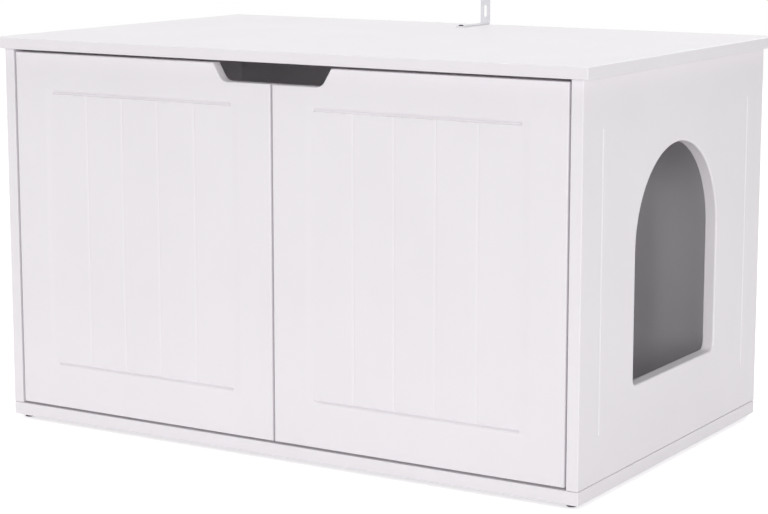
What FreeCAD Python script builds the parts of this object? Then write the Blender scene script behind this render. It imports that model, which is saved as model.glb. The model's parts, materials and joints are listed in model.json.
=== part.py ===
"""Cat litter box cabinet.

A low, wide cabinet in white boards. Its tabletop overhangs the body, two inset doors with
grooved fields meet at a finger notch, and an arched way in for the cat is cut through the right
side panel. Concealed hinges with one pivot each carry the doors, cams and dowels hold the
boards, and an angle on the tabletop takes the wall fixing.

Frame: origin on the floor under the middle of the tabletop, +X right, +Y back, +Z up.
Every body's own y is measured back from the plane of the door fronts.
"""
import FreeCAD, Part
import math
import os
from types import SimpleNamespace

import Sketcher

# Driving sizes in millimetres: alias, value, meaning.
SIZES = (
    ("top_width", 900, "tabletop, left to right"),
    ("top_depth", 576, "tabletop, front to back"),
    ("top_thick", 15, "tabletop board"),
    ("side_overhang", 11, "tabletop past each side panel"),
    ("front_overhang", 12, "tabletop past the door fronts"),
    ("back_overhang", 16, "tabletop past the rear edges"),
    ("top_round", 1.2, "rounding of the tabletop's edges"),
    ("side_height", 494, "side panel, base to tabletop"),
    ("side_thick", 16, "side panel board"),
    ("base_thick", 17, "base board"),
    ("corner_round", 1.5, "rounding of the upright corners"),
    ("back_thick", 3, "hardboard back"),
    ("back_setback", 10.5, "back panel in front of the rear edges"),
    ("groove_depth", 6, "groove that holds the back"),
    ("groove_play", 0.15, "gap at each face of the back"),
    ("groove_end_play", 0.5, "gap at each edge of the back"),
    ("foot_height", 5, "glide under the base"),
    ("foot_radius", 7, "glide"),
    ("foot_inset", 15, "glide's middle from the base's edges"),
    ("foot_bevel", 1.4, "bevel round the glide's sole"),
    ("foot_floor", 2, "glide under its nail"),
    ("nail_radius", 1, "nail in the glide"),
    ("nail_reach", 12, "nail in the base"),
    ("arch_width", 250, "way in for the cat"),
    ("arch_sill", 100, "way in above the base board"),
    ("arch_spring", 268.5, "start of the half round above the base board"),
    ("arch_corner", 10, "lower corners of the way in"),
    ("arch_round", 2.5, "rounding of the way in's outer rim"),
    ("line_inset", 53.5, "side panel's upright groove from its front and rear edges"),
    ("line_width", 4, "upright groove"),
    ("line_depth", 1.2, "upright groove"),
    ("line_bottom", 58, "foot of the upright groove above the base board"),
    ("line_top", 62, "head of the upright groove below the tabletop"),
    ("door_thick", 15, "door board"),
    ("door_side_gap", 3, "door to side panel"),
    ("door_middle_gap", 3, "door to door"),
    ("door_bottom_gap", 3, "door to base board"),
    ("door_top_gap", 4.5, "door to tabletop"),
    ("door_round", 2, "rounding of the door's front edges"),
    ("notch_depth", 23.5, "finger notch below the doors' top edge"),
    ("notch_top", 90, "half width of the notch at its mouth"),
    ("notch_bottom", 76, "half width of the notch at its bottom"),
    ("notch_corner", 14, "inner corner of the notch"),
    ("field_margin", 61.5, "door's edge to the flat of the field, sides and bottom"),
    ("field_margin_top", 52.5, "door's edge to the flat of the field, top"),
    ("field_border", 14, "sloping border round the field"),
    ("field_depth", 1, "field below the door front"),
    ("board_count", 5, "boards shown by the field's grooves"),
    ("board_groove_width", 3, "groove between two boards"),
    ("board_groove_depth", 0.8, "groove between two boards"),
    ("end_groove_width", 2.4, "groove along the boards' ends"),
    ("end_groove_depth", 2.4, "groove along the boards' ends"),
    ("hinge_end", 95, "hinge's middle from the door's upper and lower ends"),
    ("pin_inset", 11, "pivot from the door's hinge edge"),
    ("pin_depth", 7.5, "pivot behind the door front"),
    ("pin_radius", 1.5, "pivot pin"),
    ("pin_play", 0.05, "running gap round the pin"),
    ("cup_inset", 22, "hinge cup's middle from the door's hinge edge"),
    ("cup_radius", 17.5, "bore for the hinge cup"),
    ("cup_depth", 12, "bore for the hinge cup"),
    ("cup_wall", 0.8, "wall and floor of the hinge cup"),
    ("flange_thick", 1.2, "hinge cup's flange"),
    ("flange_rim", 1.2, "flange past the bore"),
    ("flange_wing", 29, "half height of the flange's wings"),
    ("cup_screw_inset", 31.5, "cup screws from the door's hinge edge"),
    ("cup_screw_rise", 22.5, "cup screws above and below the cup's middle"),
    ("arm_thick", 2, "strip of the hinge arm"),
    ("arm_width", 12, "strip of the hinge arm"),
    ("arm_reach", 31.5, "arm's far bend from the door's hinge edge"),
    ("arm_clear", 27, "arm's crossing behind the door front"),
    ("arm_tail", 70, "arm's rear end behind the door front"),
    ("arm_dip_run", 10, "arm's bend in the cup from the pivot"),
    ("arm_dip_depth", 1.7, "arm's bend in the cup behind the pivot"),
    ("arm_end_run", 2.2, "arm's end in its eye from the pivot"),
    ("arm_end_depth", 0.4, "arm's end in its eye behind the pivot"),
    ("eye_radius", 2.75, "eye of the arm round the pin"),
    ("plate_thick", 2, "hinge plate on the side panel"),
    ("plate_front", 32, "hinge plate behind the door front"),
    ("plate_back", 72, "hinge plate's rear end behind the door front"),
    ("plate_spine", 9, "half height of the plate's spine"),
    ("plate_wing", 22, "half height of the plate's wings"),
    ("plate_screw_back", 52, "plate screws behind the door front"),
    ("plate_screw_rise", 16, "plate screws above and below the plate's middle"),
    ("arm_screw_back", 63, "arm screw behind the door front"),
    ("screw_radius", 1.6, "wood screws of the hinges"),
    ("screw_head", 3, "heads of the hinge screws"),
    ("screw_head_thick", 1.2, "heads of the hinge screws"),
    ("cup_screw_reach", 10, "cup screw in the door"),
    ("plate_screw_reach", 11, "plate screw in the side panel"),
    ("fit_play", 0.05, "gap round whatever is pressed or screwed in"),
    ("cam_inset", 60, "cam from the panel's front and rear edges"),
    ("cam_radius", 7.5, "cam's bore"),
    ("cam_depth", 12.5, "cam's bore"),
    ("cam_setback", 34, "cam's middle from the panel's end"),
    ("cam_cavity", 3.7, "hollow in the cam for the bolt's head"),
    ("cross_length", 8, "cross slot in the cam's face"),
    ("cross_width", 1.2, "cross slot in the cam's face"),
    ("cross_depth", 2, "cross slot in the cam's face"),
    ("bolt_bore", 4, "bore for the cam bolt in the panel's end"),
    ("bolt_shank", 2.5, "bolt where it is screwed into the board"),
    ("bolt_reach", 10, "bolt in the board"),
    ("bolt_stem", 3.4, "bolt between the board and its neck"),
    ("bolt_neck", 1.8, "bolt's neck"),
    ("bolt_neck_length", 5, "bolt's neck"),
    ("bolt_head", 3.1, "bolt's head"),
    ("bolt_head_thick", 3, "bolt's head"),
    ("dowel_inset", 110, "dowel from the panel's front and rear edges"),
    ("dowel_radius", 4, "dowel"),
    ("dowel_in_board", 9, "dowel's bore in the board"),
    ("dowel_in_panel", 20, "dowel's bore in the panel's end"),
    ("dowel_end_play", 0.5, "gap at each end of the dowel"),
    ("angle_width", 15, "wall angle"),
    ("angle_thick", 1.8, "wall angle"),
    ("angle_leg", 80, "wall angle's leg along the tabletop"),
    ("angle_rise", 40, "wall angle's upright leg"),
    ("angle_bend", 2, "inner bend of the wall angle"),
    ("angle_corner", 5, "corners at both ends of the wall angle"),
    ("angle_offset", 4, "wall angle to the left of the middle"),
    ("slot_bottom", 10.7, "wall slot above the tabletop"),
    ("slot_length", 17.6, "wall slot, end to end"),
    ("slot_width", 4.8, "wall slot"),
    ("angle_screw_inset", 7, "angle's screw from the leg's tip"),
    ("angle_screw_radius", 1.9, "angle's screw"),
    ("angle_screw_hole", 2.2, "hole for the angle's screw"),
    ("angle_screw_head", 3.8, "angle's screw head"),
    ("angle_screw_head_thick", 1.6, "angle's screw head"),
    ("angle_screw_reach", 11, "angle's screw in the tabletop"),
)

RIGHT, LEFT = 1, -1
UP = FreeCAD.Vector(0, 0, 1)
BACK = FreeCAD.Vector(0, 1, 0)
RIGHTWARD = FreeCAD.Vector(1, 0, 0)

# Plane of a sketch: role of the body's origin plane, and which way its normal runs on its axis.
PLANES = {"level": ("XY_Plane", 1), "front": ("XZ_Plane", -1), "side": ("YZ_Plane", 1)}


class Size:
    """A length that keeps the formula it comes from together with its value in millimetres."""

    def __init__(self, text, value):
        self.text = text
        self.value = float(value)

    @staticmethod
    def of(other):
        return other if isinstance(other, Size) else Size(f"({other})", other)

    def __add__(self, other):
        other = Size.of(other)
        return Size(f"({self.text} + {other.text})", self.value + other.value)

    def __sub__(self, other):
        other = Size.of(other)
        return Size(f"({self.text} - {other.text})", self.value - other.value)

    def __mul__(self, other):
        other = Size.of(other)
        return Size(f"({self.text} * {other.text})", self.value * other.value)

    def __truediv__(self, other):
        other = Size.of(other)
        return Size(f"({self.text} / {other.text})", self.value / other.value)

    def __neg__(self):
        return self * -1

    __rmul__ = __mul__


ZERO = Size("0", 0)


def root(size):
    """The square root of a size."""
    return Size(f"sqrt({size.text})", math.sqrt(size.value))


def make_sheet(doc):
    """Write the driving sizes into a sheet and return them by name."""
    sheet = doc.addObject("Spreadsheet::Sheet", "Sizes")
    for row, (alias, value, meaning) in enumerate(SIZES, 1):
        sheet.set(f"A{row}", str(value))
        sheet.setAlias(f"A{row}", alias)
        sheet.set(f"B{row}", meaning)
    doc.recompute()
    return SimpleNamespace(**{
        alias: Size(f"Sizes.{alias}", sheet.get(alias)) for alias, _, _ in SIZES})


DOC = FreeCAD.newDocument("LitterCabinet")
size = make_sheet(DOC)
SUB_PARTS = []
CUTS = []

# Levels and planes that several sub-parts share.
front_plane = size.front_overhang - size.top_depth / 2
body_depth = size.top_depth - size.front_overhang - size.back_overhang
body_half = size.top_width / 2 - size.side_overhang
inner_half = body_half - size.side_thick
panel_middle = body_half - size.side_thick / 2
floor_level = size.foot_height + size.base_thick
top_level = floor_level + size.side_height
table_level = top_level + size.top_thick
back_face = body_depth - size.back_setback
groove_front = back_face - size.back_thick - size.groove_play
groove_back = back_face + size.groove_play
cam_spots = (size.cam_inset, body_depth - size.cam_inset)
dowel_spots = (size.dowel_inset, body_depth - size.dowel_inset)
door_width = inner_half - size.door_side_gap - size.door_middle_gap / 2
door_height = size.side_height - size.door_bottom_gap - size.door_top_gap
door_level = floor_level + size.door_bottom_gap
hinge_edge = inner_half - size.door_side_gap
hinge_rises = {"lower": size.hinge_end, "upper": door_height - size.hinge_end}
angle_tip = body_depth + size.back_overhang - size.angle_leg
angle_screw_back = angle_tip + size.angle_screw_inset


# --- How bodies, sketches and features are made -------------------------------------------------

def bind(thing, name, length):
    """Drive one property of an object by a formula."""
    thing.setExpression(name, Size.of(length).text)


def place(thing, x=ZERO, y=ZERO, z=ZERO, turn=None):
    """Put an object's origin at a point that follows the sizes."""
    turn = turn or FreeCAD.Rotation()
    point = [Size.of(length) for length in (x, y, z)]
    thing.Placement = FreeCAD.Placement(FreeCAD.Vector(*(p.value for p in point)), turn)
    for axis, length in zip("xyz", point):
        bind(thing, f"Placement.Base.{axis}", length)


def make_body(name, x=ZERO, y=ZERO, z=ZERO, turn=None):
    """A new sub-part whose own y starts at the plane of the door fronts."""
    body = DOC.addObject("PartDesign::Body", name)
    body.Label = name
    place(body, x, front_plane + y, z, turn)
    SUB_PARTS.append(body)
    return body


def make_sketch(body, name, plane, level=ZERO):
    """A sketch parallel to one of the body's origin planes, at a level along that plane's axis."""
    role, normal = PLANES[plane]
    sketch = body.newObject("Sketcher::SketchObject", f"{body.Name}_{name}")
    support = [f for f in body.Origin.OriginFeatures if f.Role == role][0]
    sketch.AttachmentSupport = (support, [""])
    sketch.MapMode = "FlatFace"
    bind(sketch, "AttachmentOffset.Base.z", Size.of(level) * normal)
    return sketch


def pin(sketch, shape, point, **coordinates):
    """Tie one point of a sketch's shape to its formulas."""
    for axis, length in coordinates.items():
        length = Size.of(length)
        kind = {"x": "DistanceX", "y": "DistanceY"}[axis]
        number = sketch.addConstraint(
            Sketcher.Constraint(kind, -1, 1, shape, point, length.value))
        sketch.renameConstraint(number, f"{axis}_{shape}_{point}")
        bind(sketch, f"Constraints.{axis}_{shape}_{point}", length)


def draw_outline(sketch, corners, closed=True):
    """Straight lines through corners that follow their formulas."""
    corners = [(Size.of(x), Size.of(y)) for x, y in corners]
    points = [FreeCAD.Vector(x.value, y.value, 0) for x, y in corners]
    last = len(corners) if closed else len(corners) - 1
    first = sketch.GeometryCount
    for index in range(last):
        sketch.addGeometry(Part.LineSegment(points[index], points[(index + 1) % len(points)]))
    for index in range(last):
        shape = first + index
        pin(sketch, shape, 1, x=corners[index][0], y=corners[index][1])
        if closed or index < last - 1:
            follower = first + (index + 1) % last
            sketch.addConstraint(Sketcher.Constraint("Coincident", shape, 2, follower, 1))
    if not closed:
        pin(sketch, first + last - 1, 2, x=corners[-1][0], y=corners[-1][1])


def draw_box(sketch, x0, x1, y0, y1):
    """A rectangle between two formulas each way."""
    draw_outline(sketch, [(x0, y0), (x1, y0), (x1, y1), (x0, y1)])


def draw_circles(sketch, centres, radius):
    """Equal circles whose middles follow their formulas."""
    for x, y in centres:
        x, y = Size.of(x), Size.of(y)
        middle = FreeCAD.Vector(x.value, y.value, 0)
        shape = sketch.addGeometry(Part.Circle(middle, UP, radius.value))
        pin(sketch, shape, 3, x=x, y=y)
        number = sketch.addConstraint(Sketcher.Constraint("Radius", shape, radius.value))
        sketch.renameConstraint(number, f"radius_{shape}")
        bind(sketch, f"Constraints.radius_{shape}", radius)


def draw_arch(sketch, middle, half_width, sill, spring):
    """A rectangle whose head is a half circle: sill, jamb, half circle, jamb."""
    right, left = middle + half_width, middle - half_width
    ends = [(left, sill), (right, sill), (right, spring), (left, spring)]
    points = [FreeCAD.Vector(x.value, y.value, 0) for x, y in ends]
    sill_line = sketch.addGeometry(Part.LineSegment(points[0], points[1]))
    right_jamb = sketch.addGeometry(Part.LineSegment(points[1], points[2]))
    circle = Part.Circle(FreeCAD.Vector(middle.value, spring.value, 0), UP, half_width.value)
    head = sketch.addGeometry(Part.ArcOfCircle(circle, 0, math.pi))
    left_jamb = sketch.addGeometry(Part.LineSegment(points[3], points[0]))
    around = (sill_line, right_jamb, head, left_jamb)
    for shape, follower in zip(around, around[1:] + around[:1]):
        sketch.addConstraint(Sketcher.Constraint("Coincident", shape, 2, follower, 1))
    pin(sketch, sill_line, 1, x=left, y=sill)
    pin(sketch, sill_line, 2, x=right, y=sill)
    pin(sketch, right_jamb, 2, x=right, y=spring)
    pin(sketch, left_jamb, 1, x=left, y=spring)
    pin(sketch, head, 3, y=spring)


def pad(body, sketch, plane, length, toward=1, both_ways=False):
    """Raise a sketch into a solid, towards + or - on the plane's axis, or half each way."""
    feature = body.newObject("PartDesign::Pad", f"{sketch.Name}_Pad")
    feature.Profile = sketch
    feature.Reversed = toward != PLANES[plane][1]
    feature.Midplane = both_ways
    bind(feature, "Length", length)
    sketch.Visibility = False
    return feature


def cut(body, sketch, plane, depth, toward=1, both_ways=False):
    """Cut a sketch out of the body's solid, and keep the pair of volumes for the last check."""
    before = body.Tip
    feature = body.newObject("PartDesign::Pocket", f"{sketch.Name}_Pocket")
    feature.Profile = sketch
    feature.Reversed = toward == PLANES[plane][1]
    feature.Midplane = both_ways
    bind(feature, "Length", depth)
    CUTS.append((before, feature))
    return feature


def drill(body, name, plane, level, spots, radius, depth, toward):
    """Bore equal round holes from a level of the body."""
    sketch = make_sketch(body, name, plane, level)
    draw_circles(sketch, spots, radius)
    return cut(body, sketch, plane, depth, toward)


def edges_at(feature, **levels):
    """Names of the edges whose ends all lie at the given levels of the body."""
    DOC.recompute()
    found = []
    for number, edge in enumerate(feature.Shape.Edges, 1):
        gaps = [abs(getattr(vertex.Point, axis) - Size.of(level).value)
                for vertex in edge.Vertexes for axis, level in levels.items()]
        if max(gaps) < 1e-4:
            found.append(f"Edge{number}")
    return found


def round_edges(body, name, edges, radius):
    """Round edges of the body's latest feature."""
    before = body.Tip
    feature = body.newObject("PartDesign::Fillet", f"{body.Name}_{name}")
    feature.Base = (before, edges)
    bind(feature, "Radius", radius)
    return feature


def along(start, axis, distance):
    """The point that lies a distance from a start, along an axis of the frame."""
    return tuple(Size.of(s) + Size.of(distance) * int(a) for s, a in zip(start, axis))


def make_rod(name, radius, length, start, axis, far_radius=None):
    """A round bar, or a cone if its far end has its own radius, from a start along an axis."""
    rod = DOC.addObject("Part::Cone" if far_radius else "Part::Cylinder", name)
    if far_radius:
        bind(rod, "Radius1", radius)
        bind(rod, "Radius2", far_radius)
    else:
        bind(rod, "Radius", radius)
    bind(rod, "Height", length)
    place(rod, *start, turn=FreeCAD.Rotation(UP, axis))
    return rod


def fuse(name, pieces):
    """One solid out of several that touch."""
    whole = DOC.addObject("Part::MultiFuse", name)
    whole.Shapes = pieces
    return whole


def make_group(name, pieces):
    """One sub-part that holds several equal, separate solids."""
    group = DOC.addObject("Part::Compound", name)
    group.Label = name
    group.Links = pieces
    SUB_PARTS.append(group)
    return group


# --- Boards ---------------------------------------------------------------------------------------

def board_joints(body, level, toward):
    """Bores in a tabletop or base board for the cam bolts and dowels of both side panels."""
    bolts = [(side * panel_middle, y) for side in (LEFT, RIGHT) for y in cam_spots]
    dowels = [(side * panel_middle, y) for side in (LEFT, RIGHT) for y in dowel_spots]
    bolt_depth = size.bolt_reach + size.dowel_end_play
    drill(body, "bolts", "level", level, bolts, size.bolt_shank + size.fit_play, bolt_depth, toward)
    drill(body, "dowels", "level", level, dowels, size.dowel_radius + size.fit_play,
          size.dowel_in_board, toward)


def back_groove(body, level, toward):
    """Groove across a tabletop or base board for the back's edge."""
    half = inner_half + size.groove_depth
    sketch = make_sketch(body, "groove", "level", level)
    draw_box(sketch, -half, half, groove_front, groove_back)
    cut(body, sketch, "level", size.groove_depth, toward)


def make_top_board():
    """Tabletop, its own z from its underside."""
    body = make_body("top_board", z=top_level)
    half = size.top_width / 2
    outline = make_sketch(body, "outline", "level")
    draw_box(outline, -half, half, -size.front_overhang, body_depth + size.back_overhang)
    slab = pad(body, outline, "level", size.top_thick)
    rims = edges_at(slab, z=0) + edges_at(slab, z=size.top_thick)
    for side in (LEFT, RIGHT):
        for y in (-size.front_overhang, body_depth + size.back_overhang):
            rims += edges_at(slab, x=side * half, y=y)
    round_edges(body, "rims", sorted(set(rims)), size.top_round)
    back_groove(body, ZERO, 1)
    board_joints(body, ZERO, 1)
    spot = (-size.angle_offset, angle_screw_back)
    drill(body, "angle_screw", "level", size.top_thick, [spot],
          size.angle_screw_radius + size.fit_play, size.angle_screw_reach, -1)


def foot_spots():
    """Middles of the glides, x and own y, by name."""
    across = body_half - size.foot_inset
    return {
        "front_left": (-across, size.foot_inset),
        "front_right": (across, size.foot_inset),
        "rear_left": (-across, body_depth - size.foot_inset),
        "rear_right": (across, body_depth - size.foot_inset),
    }


def make_base_board():
    """Base board, its own z from its underside."""
    body = make_body("base_board", z=size.foot_height)
    outline = make_sketch(body, "outline", "level")
    draw_box(outline, -body_half, body_half, ZERO, body_depth)
    slab = pad(body, outline, "level", size.base_thick)
    corners = []
    for side in (LEFT, RIGHT):
        for y in (ZERO, body_depth):
            corners += edges_at(slab, x=side * body_half, y=y)
    round_edges(body, "corners", corners, size.corner_round)
    back_groove(body, size.base_thick, -1)
    board_joints(body, size.base_thick, -1)
    drill(body, "nails", "level", ZERO, list(foot_spots().values()),
          size.nail_radius + size.fit_play, size.nail_reach, 1)


def cut_arch(body, outer):
    """Way in for the cat, with round lower corners and a rounded outer rim."""
    middle = body_depth / 2
    sketch = make_sketch(body, "arch", "side", ZERO)
    draw_arch(sketch, middle, size.arch_width / 2, size.arch_sill, size.arch_spring)
    opening = cut(body, sketch, "side", size.side_thick, 1)
    corners = []
    for side in (LEFT, RIGHT):
        corners += edges_at(opening, y=middle + side * size.arch_width / 2, z=size.arch_sill)
    soft = round_edges(body, "arch_corners", corners, size.arch_corner)
    low, high = size.arch_sill.value, (size.arch_spring + size.arch_width / 2).value
    rim = [name for name in edges_at(soft, x=outer)
           if low - 1 < soft.getSubObject(name).CenterOfMass.z < high + 1
           and abs(soft.getSubObject(name).CenterOfMass.y - middle.value)
           <= size.arch_width.value / 2 + 1]
    round_edges(body, "arch_rim", rim, size.arch_round)


def cut_side_lines(body, outer, outward):
    """Two stopped upright V grooves in the outer face."""
    sketch = make_sketch(body, "lines", "level", size.line_bottom)
    half = size.line_width / 2
    for y in (size.line_inset, body_depth - size.line_inset):
        draw_outline(sketch, [(outer, y - half), (outer, y + half),
                              (outer - outward * size.line_depth, y)])
    cut(body, sketch, "level", size.side_height - size.line_bottom - size.line_top, 1)


def make_side_panel(name, side):
    """Side panel, its own x from its left face and z from the base board."""
    low = inner_half if side == RIGHT else -body_half
    body = make_body(name, x=low, z=floor_level)
    outer = size.side_thick if side == RIGHT else ZERO
    inner = ZERO if side == RIGHT else size.side_thick
    outline = make_sketch(body, "outline", "side")
    draw_box(outline, ZERO, body_depth, ZERO, size.side_height)
    slab = pad(body, outline, "side", size.side_thick)
    corners = edges_at(slab, x=outer, y=0) + edges_at(slab, x=outer, y=body_depth)
    round_edges(body, "corners", corners, size.corner_round)
    if side == RIGHT:
        cut_arch(body, outer)
    groove = make_sketch(body, "groove", "side", inner)
    draw_box(groove, groove_front, groove_back, ZERO, size.side_height)
    cut(body, groove, "side", size.groove_depth, side)
    cut_side_lines(body, outer, side)
    middle = size.side_thick / 2
    for end, level, toward in (("lower", ZERO, 1), ("upper", size.side_height, -1)):
        drill(body, f"{end}_bolts", "level", level, [(middle, y) for y in cam_spots],
              size.bolt_bore, size.cam_setback + size.bolt_bore, toward)
        drill(body, f"{end}_dowels", "level", level, [(middle, y) for y in dowel_spots],
              size.dowel_radius + size.fit_play, size.dowel_in_panel, toward)
    cams = [(y, z) for y in cam_spots
            for z in (size.cam_setback, size.side_height - size.cam_setback)]
    drill(body, "cams", "side", inner, cams, size.cam_radius, size.cam_depth, side)
    screws = [(size.plate_screw_back, size.door_bottom_gap + rise + step * size.plate_screw_rise)
              for rise in hinge_rises.values() for step in (1, -1)]
    drill(body, "hinge_screws", "side", inner, screws, size.screw_radius + size.fit_play,
          size.plate_screw_reach + size.dowel_end_play, side)


def make_back_panel():
    """Hardboard back in the grooves of the four boards round it."""
    body = make_body("back_panel", z=floor_level)
    reach = size.groove_depth - size.groove_end_play
    half = inner_half + reach
    outline = make_sketch(body, "outline", "front", back_face)
    draw_box(outline, -half, half, -reach, size.side_height + reach)
    pad(body, outline, "front", size.back_thick, -1)


# --- Doors ----------------------------------------------------------------------------------------

def cut_field(body, inward):
    """Sunk field with a sloping border, and the grooves round and between its boards."""
    edges = (size.field_margin, door_width - size.field_margin)
    ends = (size.field_margin, door_height - size.field_margin_top)
    border = size.field_border
    mouth = make_sketch(body, "field_mouth", "front", ZERO)
    draw_box(mouth, inward * (edges[0] - border), inward * (edges[1] + border),
             ends[0] - border, ends[1] + border)
    flat = make_sketch(body, "field_flat", "front", size.field_depth)
    draw_box(flat, inward * edges[0], inward * edges[1], ends[0], ends[1])
    before = body.Tip
    field = body.newObject("PartDesign::SubtractiveLoft", f"{body.Name}_field")
    field.Profile = mouth
    field.Sections = [flat]
    field.Ruled = True
    CUTS.append((before, field))
    along_ends = make_sketch(body, "end_grooves", "side", inward * edges[0])
    bottom = size.field_depth + size.end_groove_depth
    for end, step in ((ends[0], 1), (ends[1], -1)):
        draw_outline(along_ends, [(size.field_depth, end),
                                  (size.field_depth, end + step * size.end_groove_width),
                                  (bottom, end + step * size.end_groove_width / 2)])
    cut(body, along_ends, "side", edges[1] - edges[0], inward)
    pitch = (edges[1] - edges[0]) / size.board_count
    groove = make_sketch(body, "board_groove", "level", ends[0])
    middle = inward * (edges[0] + pitch)
    half = size.board_groove_width / 2
    draw_outline(groove, [(middle - half, size.field_depth), (middle + half, size.field_depth),
                          (middle, size.field_depth + size.board_groove_depth)])
    first = cut(body, groove, "level", ends[1] - ends[0], 1)
    grooves = body.newObject("PartDesign::LinearPattern", f"{body.Name}_grooves")
    grooves.Originals = [first]
    across = [f for f in body.Origin.OriginFeatures if f.Role == "X_Axis"][0]
    grooves.Direction = (across, [""])
    grooves.Reversed = inward < 0
    bind(grooves, "Length", pitch * (size.board_count - 2))
    bind(grooves, "Occurrences", size.board_count - 1)
    body.Tip = grooves
    CUTS.append((first, grooves))


def make_door(name, side):
    """Door, its own x from its hinge edge and z from its lower end."""
    inward = -side
    body = make_body(name, x=side * hinge_edge, z=door_level)
    half_gap = size.door_middle_gap / 2
    mouth = inward * (door_width + half_gap - size.notch_top)
    bottom = inward * (door_width + half_gap - size.notch_bottom)
    notch_level = door_height - size.notch_depth
    outline = make_sketch(body, "outline", "front")
    draw_outline(outline, [(ZERO, ZERO), (inward * door_width, ZERO),
                           (inward * door_width, notch_level), (bottom, notch_level),
                           (mouth, door_height), (ZERO, door_height)])
    slab = pad(body, outline, "front", size.door_thick)
    corner = edges_at(slab, x=bottom, z=notch_level)
    soft = round_edges(body, "notch_corner", corner, size.notch_corner)
    round_edges(body, "front_edges", edges_at(soft, y=0), size.door_round)
    cut_field(body, inward)
    cups = [(inward * size.cup_inset, rise) for rise in hinge_rises.values()]
    drill(body, "cups", "front", size.door_thick, cups, size.cup_radius, size.cup_depth, -1)
    screws = [(inward * size.cup_screw_inset, rise + step * size.cup_screw_rise)
              for rise in hinge_rises.values() for step in (1, -1)]
    drill(body, "cup_screws", "front", size.door_thick, screws,
          size.screw_radius + size.fit_play, size.cup_screw_reach + size.dowel_end_play, -1)


# --- Hinges ---------------------------------------------------------------------------------------
# A hinge's own x runs inward from the door's hinge edge and its own z is zero at its middle, so
# the hinges on the right are the same pieces turned half round the y axis.

def hinge_seat(side, rise):
    """Where a hinge's own frame lies: x, z and turn."""
    turn = FreeCAD.Rotation(BACK, 180 if side == RIGHT else 0)
    return {"x": side * hinge_edge, "z": door_level + rise, "turn": turn}


def hinge_point(side, rise, inset, depth, up=ZERO):
    """A point given in a hinge's own frame, in the frame of the whole."""
    return (side * hinge_edge - side * Size.of(inset), front_plane + depth, door_level + rise + up)


def make_hinge_cup(name, side, rise):
    """Cup in the door with its flange on the door's back."""
    body = make_body(name, **hinge_seat(side, rise))
    back = size.door_thick
    middle = (size.cup_inset, ZERO)
    cup = make_sketch(body, "cup", "front", back)
    draw_circles(cup, [middle], size.cup_radius - size.fit_play)
    pad(body, cup, "front", size.cup_depth, -1)
    wings = make_sketch(body, "wings", "front", back)
    draw_box(wings, size.cup_inset, size.cup_inset + size.cup_radius + size.flange_rim,
             -size.flange_wing, size.flange_wing)
    pad(body, wings, "front", size.flange_thick)
    rim = make_sketch(body, "rim", "front", back)
    draw_circles(rim, [middle], size.cup_radius + size.flange_rim)
    pad(body, rim, "front", size.flange_thick)
    hollow = make_sketch(body, "hollow", "front", back + size.flange_thick)
    draw_circles(hollow, [middle], size.cup_radius - size.fit_play - size.cup_wall)
    cut(body, hollow, "front", size.flange_thick + size.cup_depth - size.cup_wall, -1)
    bore = make_sketch(body, "pin", "level")
    draw_circles(bore, [(size.pin_inset, size.pin_depth)], size.pin_radius)
    cut(body, bore, "level", 2 * size.cup_radius, 1, both_ways=True)
    screws = [(size.cup_screw_inset, step * size.cup_screw_rise) for step in (1, -1)]
    drill(body, "screws", "front", back + size.flange_thick, screws,
          size.screw_radius + size.fit_play, size.flange_thick, -1)


def make_hinge_pin(name, side, rise):
    """Pivot pin, held at both ends by the wall of the cup."""
    aside = size.cup_inset - size.pin_inset + size.pin_radius
    outer = size.cup_radius - size.fit_play
    half = root(outer * outer - aside * aside)
    start = hinge_point(side, rise, size.pin_inset, size.pin_depth, -half)
    rod = make_rod(name, size.pin_radius, 2 * half, start, UP)
    rod.Label = name
    SUB_PARTS.append(rod)


def make_hinge_arm(name, side, rise):
    """Bent strip from the plate into the cup, with an eye round the pin."""
    body = make_body(name, **hinge_seat(side, rise))
    wall_run = size.plate_thick - size.door_side_gap + size.arm_thick / 2
    bends = [
        (wall_run, size.arm_tail),
        (wall_run, size.arm_clear + size.arm_thick),
        (wall_run + size.arm_thick, size.arm_clear),
        (size.arm_reach - size.arm_thick, size.arm_clear),
        (size.arm_reach, size.arm_clear - size.arm_thick),
        (size.arm_reach - size.arm_thick, size.door_thick),
        (size.pin_inset + size.arm_dip_run, size.pin_depth + size.arm_dip_depth),
        (size.pin_inset + size.arm_end_run, size.pin_depth + size.arm_end_depth),
    ]
    path = make_sketch(body, "path", "level")
    draw_outline(path, bends, closed=False)
    section = make_sketch(body, "section", "front", size.arm_tail)
    draw_box(section, wall_run - size.arm_thick / 2, wall_run + size.arm_thick / 2,
             -size.arm_width / 2, size.arm_width / 2)
    strip = body.newObject("PartDesign::AdditivePipe", f"{body.Name}_strip")
    strip.Profile = section
    strip.Spine = (path, [f"Edge{number}" for number in range(1, len(bends))])
    strip.Transition = "Right corner"
    eye = make_sketch(body, "eye", "level")
    draw_circles(eye, [(size.pin_inset, size.pin_depth)], size.eye_radius)
    pad(body, eye, "level", size.arm_width, both_ways=True)
    bore = make_sketch(body, "bore", "level")
    draw_circles(bore, [(size.pin_inset, size.pin_depth)], size.pin_radius + size.pin_play)
    cut(body, bore, "level", 2 * size.arm_width, 1, both_ways=True)
    face = wall_run + size.arm_thick / 2
    drill(body, "screw", "side", face, [(size.arm_screw_back, ZERO)],
          size.screw_radius + size.fit_play, size.arm_thick, -1)


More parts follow.
